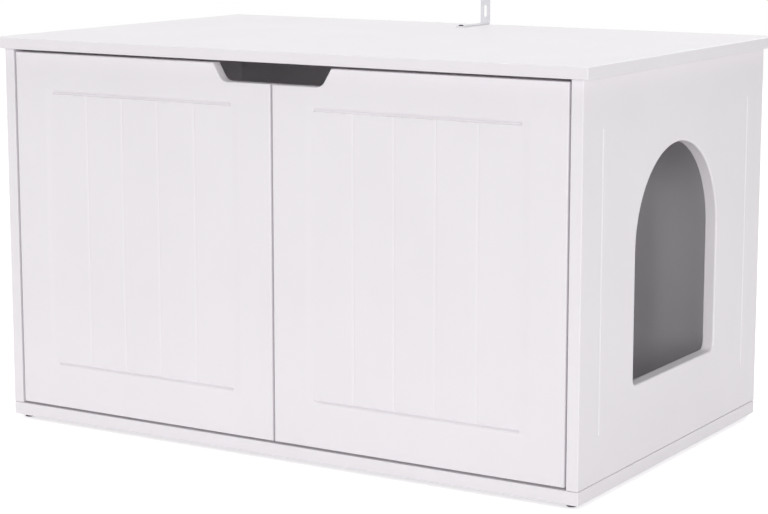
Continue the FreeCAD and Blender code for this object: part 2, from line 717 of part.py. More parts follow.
def make_hinge_plate(name, side, rise):
    """Winged plate on the side panel's inner face."""
    body = make_body(name, **hinge_seat(side, rise))
    wall = -size.door_side_gap
    half_wing = size.screw_head + size.plate_thick
    spine = make_sketch(body, "spine", "side", wall)
    draw_box(spine, size.plate_front, size.plate_back, -size.plate_spine, size.plate_spine)
    pad(body, spine, "side", size.plate_thick)
    wings = make_sketch(body, "wings", "side", wall)
    draw_box(wings, size.plate_screw_back - half_wing, size.plate_screw_back + half_wing,
             -size.plate_wing, size.plate_wing)
    pad(body, wings, "side", size.plate_thick)
    face = wall + size.plate_thick
    spots = [(size.plate_screw_back, step * size.plate_screw_rise) for step in (1, -1)]
    spots.append((size.arm_screw_back, ZERO))
    drill(body, "screws", "side", face, spots, size.screw_radius + size.fit_play,
          size.plate_thick, -1)


def make_screw(name, seat, axis, reach, radius, head_radius, head_thick):
    """Screw with a domed head: the seat under the head, and the axis that points into the wood."""
    shank = make_rod(f"{name}_shank", radius, reach, seat, axis)
    head = make_rod(f"{name}_head", head_radius, head_thick, seat, axis * -1,
                    far_radius=head_radius - head_thick / 2)
    return fuse(name, [shank, head])


def hinge_screw(name, seat, axis, reach):
    """One of the small screws of a hinge."""
    return make_screw(name, seat, axis, reach, size.screw_radius, size.screw_head,
                      size.screw_head_thick)


def make_hinges():
    """Four hinges, each a cup, pin, arm and plate, and the groups of their screws."""
    plate_screws, arm_screws = [], []
    for side, side_name in ((LEFT, "left"), (RIGHT, "right")):
        cup_screws = []
        outward = RIGHTWARD * side
        for height_name, rise in hinge_rises.items():
            name = f"{side_name}_{height_name}_hinge"
            make_hinge_cup(f"{name}_cup", side, rise)
            make_hinge_pin(f"{name}_pin", side, rise)
            make_hinge_arm(f"{name}_arm", side, rise)
            make_hinge_plate(f"{name}_plate", side, rise)
            for step, step_name in ((1, "high"), (-1, "low")):
                seat = hinge_point(side, rise, size.cup_screw_inset,
                                   size.door_thick + size.flange_thick,
                                   step * size.cup_screw_rise)
                cup_screws.append(hinge_screw(f"{name}_cup_screw_{step_name}", seat, BACK * -1,
                                              size.cup_screw_reach + size.flange_thick))
                seat = hinge_point(side, rise, size.plate_thick - size.door_side_gap,
                                   size.plate_screw_back, step * size.plate_screw_rise)
                plate_screws.append(hinge_screw(f"{name}_plate_screw_{step_name}", seat, outward,
                                                size.plate_screw_reach + size.plate_thick))
            seat = hinge_point(side, rise,
                               size.plate_thick - size.door_side_gap + size.arm_thick,
                               size.arm_screw_back)
            arm_screws.append(hinge_screw(f"{name}_arm_screw", seat, outward,
                                          size.arm_thick + size.plate_thick))
        make_group(f"{side_name}_cup_screws", cup_screws)
    make_group("hinge_plate_screws", plate_screws)
    make_group("hinge_arm_screws", arm_screws)


# --- Joints between the boards --------------------------------------------------------------------

def panel_ends():
    """Both ends of both side panels: name, side, level of the end, and the way into the panel."""
    for side, side_name in ((LEFT, "left"), (RIGHT, "right")):
        yield f"{side_name}_lower", side, floor_level, UP
        yield f"{side_name}_upper", side, top_level, UP * -1


def make_cam(name, side, y, end_level, into):
    """Cam in the panel's inner face: a disc with a hollow for the bolt and a cross slot."""
    centre_level = end_level + size.cam_setback * int(into.z)
    outward = RIGHTWARD * side
    face = (side * inner_half, front_plane + y, centre_level)
    disc = make_rod(f"{name}_disc", size.cam_radius - size.fit_play,
                    size.cam_depth - size.fit_play, face, outward)
    head_level = size.cam_radius + size.bolt_head
    start = along((side * panel_middle, front_plane + y, centre_level), into * -1, size.cam_radius)
    hollow = make_rod(f"{name}_hollow", size.cam_cavity, head_level, start, into)
    slots = []
    for turn in (0, 90):
        slot = DOC.addObject("Part::Box", f"{name}_slot_{turn}")
        long_y = turn == 0
        across = size.cross_length if long_y else size.cross_width
        rise = size.cross_width if long_y else size.cross_length
        bind(slot, "Length", size.cross_depth)
        bind(slot, "Width", across)
        bind(slot, "Height", rise)
        low = side * inner_half - (size.cross_depth if side == LEFT else ZERO)
        place(slot, low, front_plane + y - across / 2, centre_level - rise / 2)
        slots.append(slot)
    away = fuse(f"{name}_away", [hollow] + slots)
    cam = DOC.addObject("Part::Cut", name)
    cam.Base, cam.Tool = disc, away
    return cam


def make_bolt(name, side, y, end_level, into):
    """Cam bolt: shank in the board, stem in the panel's end, and neck and head in the cam."""
    end = (side * panel_middle, front_plane + y, end_level)
    tip = size.cam_setback + size.bolt_head_thick / 2
    neck_start = tip - size.bolt_head_thick - size.bolt_neck_length
    shank = make_rod(f"{name}_shank", size.bolt_shank, size.bolt_reach, end, into * -1)
    stem = make_rod(f"{name}_stem", size.bolt_stem, neck_start, end, into)
    neck = make_rod(f"{name}_neck", size.bolt_neck, size.bolt_neck_length,
                    along(end, into, neck_start), into)
    head = make_rod(f"{name}_head", size.bolt_head, size.bolt_head_thick,
                    along(end, into, tip - size.bolt_head_thick), into)
    return fuse(name, [shank, stem, neck, head])


def make_dowel(name, side, y, end_level, into):
    """Dowel, half in the board and half in the panel's end."""
    in_board = size.dowel_in_board - size.dowel_end_play
    in_panel = size.dowel_in_panel - size.dowel_end_play
    start = along((side * panel_middle, front_plane + y, end_level), into * -1, in_board)
    return make_rod(name, size.dowel_radius, in_board + in_panel, start, into)


def make_board_joints():
    """Cams, cam bolts and dowels at the ends of the side panels."""
    cams, bolts, dowels = [], [], []
    for name, side, end_level, into in panel_ends():
        for place_name, y in zip(("front", "rear"), cam_spots):
            cams.append(make_cam(f"cam_{name}_{place_name}", side, y, end_level, into))
            bolts.append(make_bolt(f"bolt_{name}_{place_name}", side, y, end_level, into))
        for place_name, y in zip(("front", "rear"), dowel_spots):
            dowels.append(make_dowel(f"dowel_{name}_{place_name}", side, y, end_level, into))
    make_group("cam_locks", cams)
    make_group("cam_bolts", bolts)
    make_group("dowels", dowels)


# --- Feet and wall angle --------------------------------------------------------------------------

def make_feet():
    """Four glides, each turned round its nail, and the group of their nails."""
    nails = []
    for name, (x, y) in foot_spots().items():
        body = make_body(f"foot_{name}", x=x, y=y)
        profile = make_sketch(body, "profile", "front")
        bore = size.nail_radius + size.fit_play
        draw_outline(profile, [
            (ZERO, ZERO), (size.foot_radius - size.foot_bevel, ZERO),
            (size.foot_radius, size.foot_bevel), (size.foot_radius, size.foot_height),
            (bore, size.foot_height), (bore, size.foot_floor), (ZERO, size.foot_floor)])
        disc = body.newObject("PartDesign::Revolution", f"{body.Name}_disc")
        disc.Profile = profile
        disc.ReferenceAxis = (profile, ["V_Axis"])
        disc.Angle = 360
        start = (x, front_plane + y, size.foot_floor)
        length = size.foot_height - size.foot_floor + size.nail_reach - size.dowel_end_play
        nails.append(make_rod(f"nail_{name}", size.nail_radius, length, start, UP))
    make_group("foot_nails", nails)


def make_wall_angle():
    """Steel angle on the tabletop's rear edge, with a screw hole and an upright slot."""
    body = make_body("wall_angle", x=-size.angle_offset, z=table_level)
    rear = body_depth + size.back_overhang
    thick = size.angle_thick
    outline = make_sketch(body, "outline", "side")
    draw_outline(outline, [(angle_tip, ZERO), (rear, ZERO), (rear, size.angle_rise),
                           (rear - thick, size.angle_rise), (rear - thick, thick),
                           (angle_tip, thick)])
    leg = pad(body, outline, "side", size.angle_width, both_ways=True)
    inner = edges_at(leg, y=rear - thick, z=thick)
    round_edges(body, "inner_bend", inner, size.angle_bend)
    outer = edges_at(body.Tip, y=rear, z=0)
    round_edges(body, "outer_bend", outer, size.angle_bend + thick)
    corners = []
    for edge in (size.angle_width / 2, size.angle_width / -2):
        corners += edges_at(body.Tip, x=edge, y=angle_tip)
        corners += edges_at(body.Tip, x=edge, z=size.angle_rise)
    round_edges(body, "corners", corners, size.angle_corner)
    drill(body, "screw_hole", "level", thick, [(ZERO, angle_screw_back)], size.angle_screw_hole,
          thick, -1)
    slot_middle = size.slot_bottom + size.slot_length / 2
    half_run = (size.slot_length - size.slot_width) / 2
    slot = make_sketch(body, "slot", "front", rear - thick)
    draw_box(slot, -size.slot_width / 2, size.slot_width / 2,
             slot_middle - half_run, slot_middle + half_run)
    cut(body, slot, "front", thick, 1)
    for end, step in (("lower", -1), ("upper", 1)):
        drill(body, f"slot_{end}", "front", rear - thick, [(ZERO, slot_middle + step * half_run)],
              size.slot_width / 2, thick, 1)


def make_wall_angle_screw():
    """Dark screw that holds the angle to the tabletop."""
    seat = (-size.angle_offset, front_plane + angle_screw_back, table_level + size.angle_thick)
    reach = size.angle_screw_reach - size.dowel_end_play + size.angle_thick
    screw = make_screw("wall_angle_screw", seat, UP * -1, reach, size.angle_screw_radius,
                       size.angle_screw_head, size.angle_screw_head_thick)
    screw.Label = "wall_angle_screw"
    SUB_PARTS.append(screw)


# --- Check and write ------------------------------------------------------------------------------

def check_model():
    """Stop on a failed object, a missing or faulty solid, or a cut that took nothing away."""
    faults = [f"{thing.Name}: {thing.State}" for thing in DOC.Objects
              if "Invalid" in thing.State or "Error" in thing.State]
    faults += [f"{part.Label}: bad shape" for part in SUB_PARTS
               if part.Shape.isNull() or not part.Shape.isValid()]
    faults += [f"{after.Name}: cuts nothing" for before, after in CUTS
               if after.Shape.Volume > before.Shape.Volume - 1e-3]
    if faults:
        raise RuntimeError("; ".join(faults))


def write_parts():
    """Write each sub-part's solids to a file of its own name."""
    os.makedirs("parts", exist_ok=True)
    for part in SUB_PARTS:
        part.Shape.exportStep(f"parts/{part.Label}.step")
        print(f"{part.Label}: {len(part.Shape.Solids)} solid, {part.Shape.Volume / 1000:.1f} cm3")


def build():
    """Make every sub-part, check the model and write its files."""
    make_top_board()
    make_base_board()
    make_side_panel("left_side_panel", LEFT)
    make_side_panel("right_side_panel", RIGHT)
    make_back_panel()
    make_door("left_door", LEFT)
    make_door("right_door", RIGHT)
    make_hinges()
    make_board_joints()
    make_feet()
    make_wall_angle()
    make_wall_angle_screw()
    DOC.recompute()
    check_model()
    write_parts()


build()
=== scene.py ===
import sys
import json
import logging
import math
from dataclasses import dataclass, field
from enum import Enum
from typing import Any, Sequence

import bmesh
import bpy
import numpy as np
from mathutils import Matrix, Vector
from mathutils.geometry import delaunay_2d_cdt

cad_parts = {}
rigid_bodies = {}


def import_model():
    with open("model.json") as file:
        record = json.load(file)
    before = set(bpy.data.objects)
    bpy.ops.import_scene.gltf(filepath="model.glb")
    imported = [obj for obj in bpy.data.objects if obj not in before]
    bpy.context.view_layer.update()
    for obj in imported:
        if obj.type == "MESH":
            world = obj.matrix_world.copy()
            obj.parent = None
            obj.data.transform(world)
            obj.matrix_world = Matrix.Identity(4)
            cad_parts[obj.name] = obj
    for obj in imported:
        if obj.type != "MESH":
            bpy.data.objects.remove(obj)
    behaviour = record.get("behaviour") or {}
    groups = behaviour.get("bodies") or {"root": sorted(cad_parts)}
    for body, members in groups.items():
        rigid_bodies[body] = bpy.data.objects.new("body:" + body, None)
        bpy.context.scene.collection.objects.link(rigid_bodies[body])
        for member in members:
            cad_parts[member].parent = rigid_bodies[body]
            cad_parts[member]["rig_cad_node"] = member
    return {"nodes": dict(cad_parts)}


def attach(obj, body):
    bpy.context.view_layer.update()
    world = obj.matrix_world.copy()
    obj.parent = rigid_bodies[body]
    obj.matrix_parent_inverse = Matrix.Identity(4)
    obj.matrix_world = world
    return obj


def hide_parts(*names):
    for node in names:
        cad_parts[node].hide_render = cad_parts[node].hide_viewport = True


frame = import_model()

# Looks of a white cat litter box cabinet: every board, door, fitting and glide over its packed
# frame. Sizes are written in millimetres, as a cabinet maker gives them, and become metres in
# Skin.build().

LOG = logging.getLogger("cabinet")
MILLIMETRE = 0.001
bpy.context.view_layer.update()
NODES: dict[str, bpy.types.Object] = frame["nodes"]

Links = dict[str, bpy.types.NodeSocket]
Surface = tuple[np.ndarray, np.ndarray]

# sockets of a Mix node that mixes colours, whose names its other kinds share
MIX_SHARE, MIX_FIRST, MIX_SECOND, MIX_RESULT = 0, 6, 7, 2
ROUND_STEPS = 5
CORNER_STEPS = 6
SMALL_STEPS = 3
# points of one cap closer than this, in millimetres, are the same point
CAP_TOLERANCE = 1e-5
CAP_DECIMALS = 6
# fills the area inside the first loop and outside the others
FILL_MODE = 2
WELD = 0.002


# --- Colours and shader nodes ---------------------------------------------------------------------


def to_linear(code: str) -> tuple[float, float, float, float]:
    """Turns a colour as written for a screen into the linear one that shaders use.

    Each channel below 0.04045 is divided by 12.92, and each above is raised to the power 2.4 after
    0.055 is added and the sum divided by 1.055.

    Args:
        code: An sRGB hex value such as "EEEBEE".

    Returns:
        Linear red, green, blue and an alpha of 1.
    """
    channels = np.array([int(code[i : i + 2], 16) for i in (0, 2, 4)]) / 255
    low = channels / 12.92
    high = ((channels + 0.055) / 1.055) ** 2.4
    red, green, blue = np.where(channels <= 0.04045, low, high).tolist()
    return red, green, blue, 1.0


def add_node(
    tree: bpy.types.NodeTree,
    kind: str,
    settings: dict[str, Any] | None = None,
    links: Links | None = None,
) -> bpy.types.Node:
    """Adds one node with its settings and links.

    Args:
        tree: The node tree that it goes into.
        kind: Blender's name for the kind of node.
        settings: Values of its own properties or, by name, of its input sockets.
        links: Output sockets of other nodes, by the input socket that each feeds.

    Returns:
        The new node.
    """
    new = tree.nodes.new(kind)
    for name, value in (settings or {}).items():
        if hasattr(new, name):
            setattr(new, name, value)
        else:
            new.inputs[name].default_value = value
    for name, socket in (links or {}).items():
        tree.links.new(socket, new.inputs[name])
    return new


@dataclass(frozen=True)
class Finish:
    """A real surface: its colour, its gloss, and the unevenness that the eye reads as its making.

    Two noise patterns on Object coordinates are common to all finishes. The coarse one sways the
    colour and the roughness, and the fine one is the relief.
    """

    title: str = "plain finish"
    slot: str = "white_board"
    colour: str = "808080"
    colour_worn: str = "787878"
    metallic: float = 0.0
    roughness: float = 0.5
    roughness_sway: float = 0.05
    ior: float = 1.5
    sway_size: float = 60.0
    grain_size: float = 1.0
    grain_depth: float = 0.01
    grain_stretch: tuple[float, float, float] = (1.0, 1.0, 1.0)
    sway_detail: float = 3.0
    grain_detail: float = 2.0
    wear_span: tuple[float, float] = (0.3, 0.7)
    gloss_span: tuple[float, float] = (0.25, 0.75)

    def build(self) -> bpy.types.Material:
        """Makes the material, with its noise scales worked out from the sizes in millimetres.

        Returns:
            The new material, named for the finish.
        """
        material = bpy.data.materials.new(self.title)
        material.use_nodes = True
        tree = material.node_tree
        shader = tree.nodes["Principled BSDF"]
        shader.inputs["Metallic"].default_value = self.metallic
        if not self.metallic:
            shader.inputs["IOR"].default_value = self.ior
        place = add_node(tree, "ShaderNodeTexCoord").outputs["Object"]
        sway = self.noise(tree, place, self.sway_size, self.sway_detail)
        colour = add_node(tree, "ShaderNodeMix", {"data_type": "RGBA"})
        colour.inputs[MIX_FIRST].default_value = to_linear(self.colour)
        colour.inputs[MIX_SECOND].default_value = to_linear(self.colour_worn)
        worn = self.spread(tree, sway, self.wear_span, (0.0, 1.0))
        tree.links.new(worn, colour.inputs[MIX_SHARE])
        tree.links.new(colour.outputs[MIX_RESULT], shader.inputs["Base Color"])
        ends = (self.roughness - self.roughness_sway, self.roughness + self.roughness_sway)
        rough = self.spread(tree, sway, self.gloss_span, ends)
        tree.links.new(rough, shader.inputs["Roughness"])
        tree.links.new(self.relief(tree, place), shader.inputs["Normal"])
        return material

    def noise(
        self, tree: bpy.types.NodeTree, place: bpy.types.NodeSocket, size: float, detail: float
    ) -> bpy.types.NodeSocket:
        """Gives a noise pattern.

        Args:
            tree: The material's node tree.
            place: The coordinates that it lies on.
            size: Its feature size in millimetres.
            detail: How many finer layers it has.

        Returns:
            The socket that carries the noise.
        """
        settings = {"Scale": 1 / (size * MILLIMETRE), "Detail": detail}
        return add_node(tree, "ShaderNodeTexNoise", settings, {"Vector": place}).outputs["Fac"]

    def spread(
        self,
        tree: bpy.types.NodeTree,
        value: bpy.types.NodeSocket,
        span: tuple[float, float],
        onto: tuple[float, float],
    ) -> bpy.types.NodeSocket:
        """Maps one span of a value onto another, held at its ends.

        Args:
            tree: The material's node tree.
            value: The socket that carries the value.
            span: The span that it comes from.
            onto: The span that it goes to.

        Returns:
            The socket that carries the mapped value.
        """
        settings = dict(zip(("From Min", "From Max", "To Min", "To Max"), (*span, *onto)))
        return add_node(tree, "ShaderNodeMapRange", settings, {"Value": value}).outputs["Result"]

    def relief(self, tree: bpy.types.NodeTree, place: bpy.types.NodeSocket) -> bpy.types.NodeSocket:
        """Gives the surface normal with the fine noise as its relief.

        Args:
            tree: The material's node tree.
            place: Object coordinates.

        Returns:
            The socket that carries the normal.
        """
        stretched = add_node(
            tree, "ShaderNodeMapping", {"Scale": self.grain_stretch}, {"Vector": place}
        ).outputs["Vector"]
        grain = self.noise(tree, stretched, self.grain_size, self.grain_detail)
        settings = {"Strength": 1.0, "Distance": self.grain_depth * MILLIMETRE}
        return add_node(tree, "ShaderNodeBump", settings, {"Height": grain}).outputs["Normal"]


@dataclass(frozen=True)
class SatinLacquer(Finish):
    """Satin white lacquer sprayed on fibreboard.

    It gives the eye an even, faintly cool white with a soft broad sheen and hardly seen peel.
    """

    title: str = "satin_white_lacquer_on_fibreboard"
    colour: str = "F3F0F3"
    colour_worn: str = "F1EEF1"
    roughness: float = 0.42
    roughness_sway: float = 0.03
    sway_size: float = 140.0
    grain_size: float = 2.2
    grain_depth: float = 0.006


@dataclass(frozen=True)
class PaintedHardboard(Finish):
    """White paint rolled on the smooth face of thin hardboard.

    It gives the eye a flatter white than the lacquer, with the roller's fine stipple.
    """

    title: str = "white_paint_on_hardboard"
    slot: str = "white_hardboard"
    colour: str = "F1EEF1"
    colour_worn: str = "EEEBEE"
    roughness: float = 0.6
    sway_size: float = 90.0
    grain_size: float = 1.4
    grain_depth: float = 0.02


@dataclass(frozen=True)
class NickelPlate(Finish):
    """Bright nickel plate on pressed steel.

    It gives the eye a warm grey mirror, blurred along the rolling direction of the strip.
    """

    title: str = "nickel_plate_on_pressed_steel"
    slot: str = "nickel_steel"
    colour: str = "CFCAC2"
    colour_worn: str = "C3BDB3"
    metallic: float = 1.0
    roughness: float = 0.24
    roughness_sway: float = 0.06
    sway_size: float = 7.0
    grain_size: float = 0.5
    grain_depth: float = 0.004
    grain_stretch: tuple[float, float, float] = (1.0, 0.12, 1.0)


@dataclass(frozen=True)
class ZincPlate(Finish):
    """Clear zinc plate on turned and rolled steel.

    It gives the eye a cool light grey with a soft glint that changes from screw to screw.
    """

    title: str = "clear_zinc_plate_on_steel"
    slot: str = "plated_steel"
    colour: str = "C4C8CB"
    colour_worn: str = "B2B7BC"
    metallic: float = 1.0
    roughness: float = 0.34
    sway_size: float = 3.0
    grain_size: float = 0.4
    grain_depth: float = 0.004


@dataclass(frozen=True)
class DieCastZinc(Finish):
    """Die-cast zinc alloy, left as it leaves the mould.

    It gives the eye a dull mid grey with a fine cast grain.
    """

    title: str = "die_cast_zinc_alloy"
    slot: str = "zinc"
    colour: str = "A6A8AB"
    colour_worn: str = "94979B"
    metallic: float = 1.0
    roughness: float = 0.52
    sway_size: float = 4.0
    grain_size: float = 0.35
    grain_depth: float = 0.012


@dataclass(frozen=True)
class FlutedBeech(Finish):
    """Bare beech, turned and fluted.

    It gives the eye a pinkish tan with short dark flecks along the grain.
    """

    title: str = "bare_fluted_beech"
    slot: str = "beech"
    colour: str = "D8B48C"
    colour_worn: str = "C29A70"
    roughness: float = 0.62
    sway_size: float = 1.6
    grain_size: float = 0.5
    grain_depth: float = 0.04
    grain_stretch: tuple[float, float, float] = (1.0, 1.0, 0.15)


@dataclass(frozen=True)
class MouldedNylon(Finish):
    """Black nylon, moulded in a spark-eroded tool.

    It gives the eye a soft charcoal sheen over a fine even texture.
    """

    title: str = "moulded_black_nylon"
    slot: str = "black_plastic"
    colour: str = "2E2D30"
    colour_worn: str = "38373A"
    roughness: float = 0.48
    ior: float = 1.53
    sway_size: float = 5.0
    grain_size: float = 0.3
    grain_depth: float = 0.01


@dataclass(frozen=True)
class GreyPowderCoat(Finish):
    """Light grey powder coat baked on bent steel strip.

    It gives the eye an even pale grey with the coat's soft pebbling and a rounded, thick edge.
    """

    title: str = "light_grey_powder_coat_on_steel"
    slot: str = "grey_steel"
    colour: str = "DFDEE2"
    colour_worn: str = "DAD9DD"
    roughness: float = 0.4
    ior: float = 1.52
    sway_size: float = 12.0
    grain_size: float = 0.7
    grain_depth: float = 0.015


@dataclass(frozen=True)
class BlackedSteel(Finish):
    """Steel blackened in a hot oxide bath and oiled.

    It gives the eye a near black with a grey glint on the head's turned edge.
    """

    title: str = "oil_blacked_steel"
    slot: str = "black_steel"
    colour: str = "34343A"
    colour_worn: str = "26262B"
    metallic: float = 1.0
    roughness: float = 0.38
    sway_size: float = 2.0
    grain_size: float = 0.3
    grain_depth: float = 0.006


class Coat(Enum):
    """The finishes that the cabinet is made in."""

    LACQUER = SatinLacquer()
    HARDBOARD = PaintedHardboard()
    NICKEL = NickelPlate()
    ZINC = ZincPlate()
    CAST = DieCastZinc()
    BEECH = FlutedBeech()
    NYLON = MouldedNylon()
    POWDER = GreyPowderCoat()
    BLACKED = BlackedSteel()

    def material(self) -> bpy.types.Material:
        """Returns the finish's material, made the first time that it is asked for."""
        return bpy.data.materials.get(self.value.title) or self.value.build()


def dress(piece: bpy.types.Object, coat: Coat) -> bpy.types.Object:
    """Gives a piece or a CAD node its finish.

    Args:
        piece: The object to dress.
        coat: Its finish.

    Returns:
        The same object.
    """
    piece.data.materials.clear()
    piece.data.materials.append(coat.material())
    return piece


# --- Surfaces -------------------------------------------------------------------------------------


class Facing(Enum):
    """Which way a board's outer face looks: its own two directions, then the outward one."""

    FRONT = ((1, 0, 0), (0, 0, 1), (0, -1, 0))
    RIGHT = ((0, 1, 0), (0, 0, 1), (1, 0, 0))
    LEFT = ((0, -1, 0), (0, 0, 1), (-1, 0, 0))
    UP = ((1, 0, 0), (0, 1, 0), (0, 0, 1))

    def place(
        self, flat: np.ndarray, depth: np.ndarray | float, origin: Sequence[float]
    ) -> np.ndarray:
        """Puts points of the board's own plane into the frame of the whole.

        Place = origin + first coordinate along the first direction + second along the second
        - depth along the outward direction.

        Args:
            flat: The points in the face's own plane, one a row.
            depth: How far each lies below the outer face.
            origin: The corner of the plane, in the frame of the whole.

        Returns:
            The points in three dimensions, one a row.
        """
        first, second, outward = (np.array(v, float) for v in self.value)
        sunk = np.broadcast_to(np.asarray(depth, float), (len(flat),))[:, None]
        return np.array(origin, float) + flat[:, :1] * first + flat[:, 1:] * second - sunk * outward


def quarter(radius: float, steps: int = ROUND_STEPS) -> tuple[np.ndarray, np.ndarray]:
    """Works out a rounded edge.

    Inset = r (1 - sin t) and depth = r (1 - cos t), with t from 0 to 90 degrees.

    Args:
        radius: Radius of the rounding.
        steps: Facets along the quarter.

    Returns:
        The insets and the depths, from the face to the edge.
    """
    turn = np.linspace(0, np.pi / 2, steps + 1)
    return radius * (1 - np.sin(turn)), radius * (1 - np.cos(turn))


def edge_profile(thick: float, outer: float, inner: float) -> tuple[np.ndarray, np.ndarray]:
    """Works out a board's edge: a quarter round, the straight edge, and a second quarter round.

    Args:
        thick: Thickness of the board.
        outer: Rounding at the outer face.
        inner: Rounding at the inner face.

    Returns:
        The insets and the depths, from the outer face to the inner one.
    """
    inset_out, depth_out = quarter(outer)
    inset_in, depth_in = quarter(inner)
    insets = np.concatenate([inset_out, inset_in[::-1]])
    depths = np.concatenate([depth_out, thick - depth_in[::-1]])
    return insets, depths


@dataclass(frozen=True)
class Outline:
    """A closed line of straight runs and round corners that can be moved into the board evenly.

    Each corner is its sharp point V, its mitre m, which is the sum of the two runs' outward normals
    divided by one plus their product, and on each of its steps the outward normal n. Moved in by i,
    a corner with radius r lies at V - m (i + q) + n q, where q is r - i as long as that keeps the
    sign of r, and 0 after that. A corner that turns the other way, as a hole's do, has a negative r.
    """

    sharp: np.ndarray
    mitre: np.ndarray
    normal: np.ndarray
    radius: np.ndarray

    @classmethod
    def through(
        cls,
        corners: Sequence[Sequence[float]],
        radii: Sequence[float] | float,
        steps: int = CORNER_STEPS,
    ) -> "Outline":
        """Draws the line through sharp corners, anticlockwise round a board, clockwise round a hole.

        Args:
            corners: The sharp corners.
            radii: The rounding of each, or of all.
            steps: Facets round each corner.

        Returns:
            The outline.
        """
        points = np.array(corners, float)
        runs = np.roll(points, -1, 0) - points
        runs /= np.linalg.norm(runs, axis=1, keepdims=True)
        after = np.stack([runs[:, 1], -runs[:, 0]], 1)
        before = np.roll(after, 1, 0)
        mitre = (before + after) / (1 + (before * after).sum(1, keepdims=True))
        turn = np.arctan2(
            before[:, 0] * after[:, 1] - before[:, 1] * after[:, 0], (before * after).sum(1)
        )
        start = np.arctan2(before[:, 1], before[:, 0])
        angle = start[:, None] + turn[:, None] * np.linspace(0, 1, steps + 1)
        normal = np.stack([np.cos(angle), np.sin(angle)], -1).reshape(-1, 2)
        signed = np.broadcast_to(np.asarray(radii, float), (len(points),)) * np.sign(turn)
        many = steps + 1
        return cls(points.repeat(many, 0), mitre.repeat(many, 0), normal, signed.repeat(many))

    @classmethod
    def box(
        cls, low: Sequence[float], high: Sequence[float], radius: float = 0.0, hole: bool = False
    ) -> "Outline":
        """Draws a rectangle, clockwise if it is a hole."""
        corners = [(low[0], low[1]), (high[0], low[1]), (high[0], high[1]), (low[0], high[1])]
        return cls.through(corners[::-1] if hole else corners, radius)

    @classmethod
    def circle(cls, centre: Sequence[float], radius: float, steps: int = 12) -> "Outline":
        """Draws a round hole as a square one whose corners are all rounding.

        Args:
            centre: The hole's middle.
            radius: Its radius.
            steps: Facets along each quarter.

        Returns:
            The outline.
        """
        middle = np.array(centre, float)
        square = middle + radius * np.array([(-1, -1), (-1, 1), (1, 1), (1, -1)])
        return cls.through(square, radius, steps)

    def at(self, inset: float) -> np.ndarray:
        """Moves the line into the board.

        Args:
            inset: How far.

        Returns:
            The moved line's points.
        """
        left = self.radius - inset
        left = np.where(np.signbit(self.radius), np.minimum(left, 0), np.maximum(left, 0))[:, None]
        return self.sharp - self.mitre * (inset + left) + self.normal * left


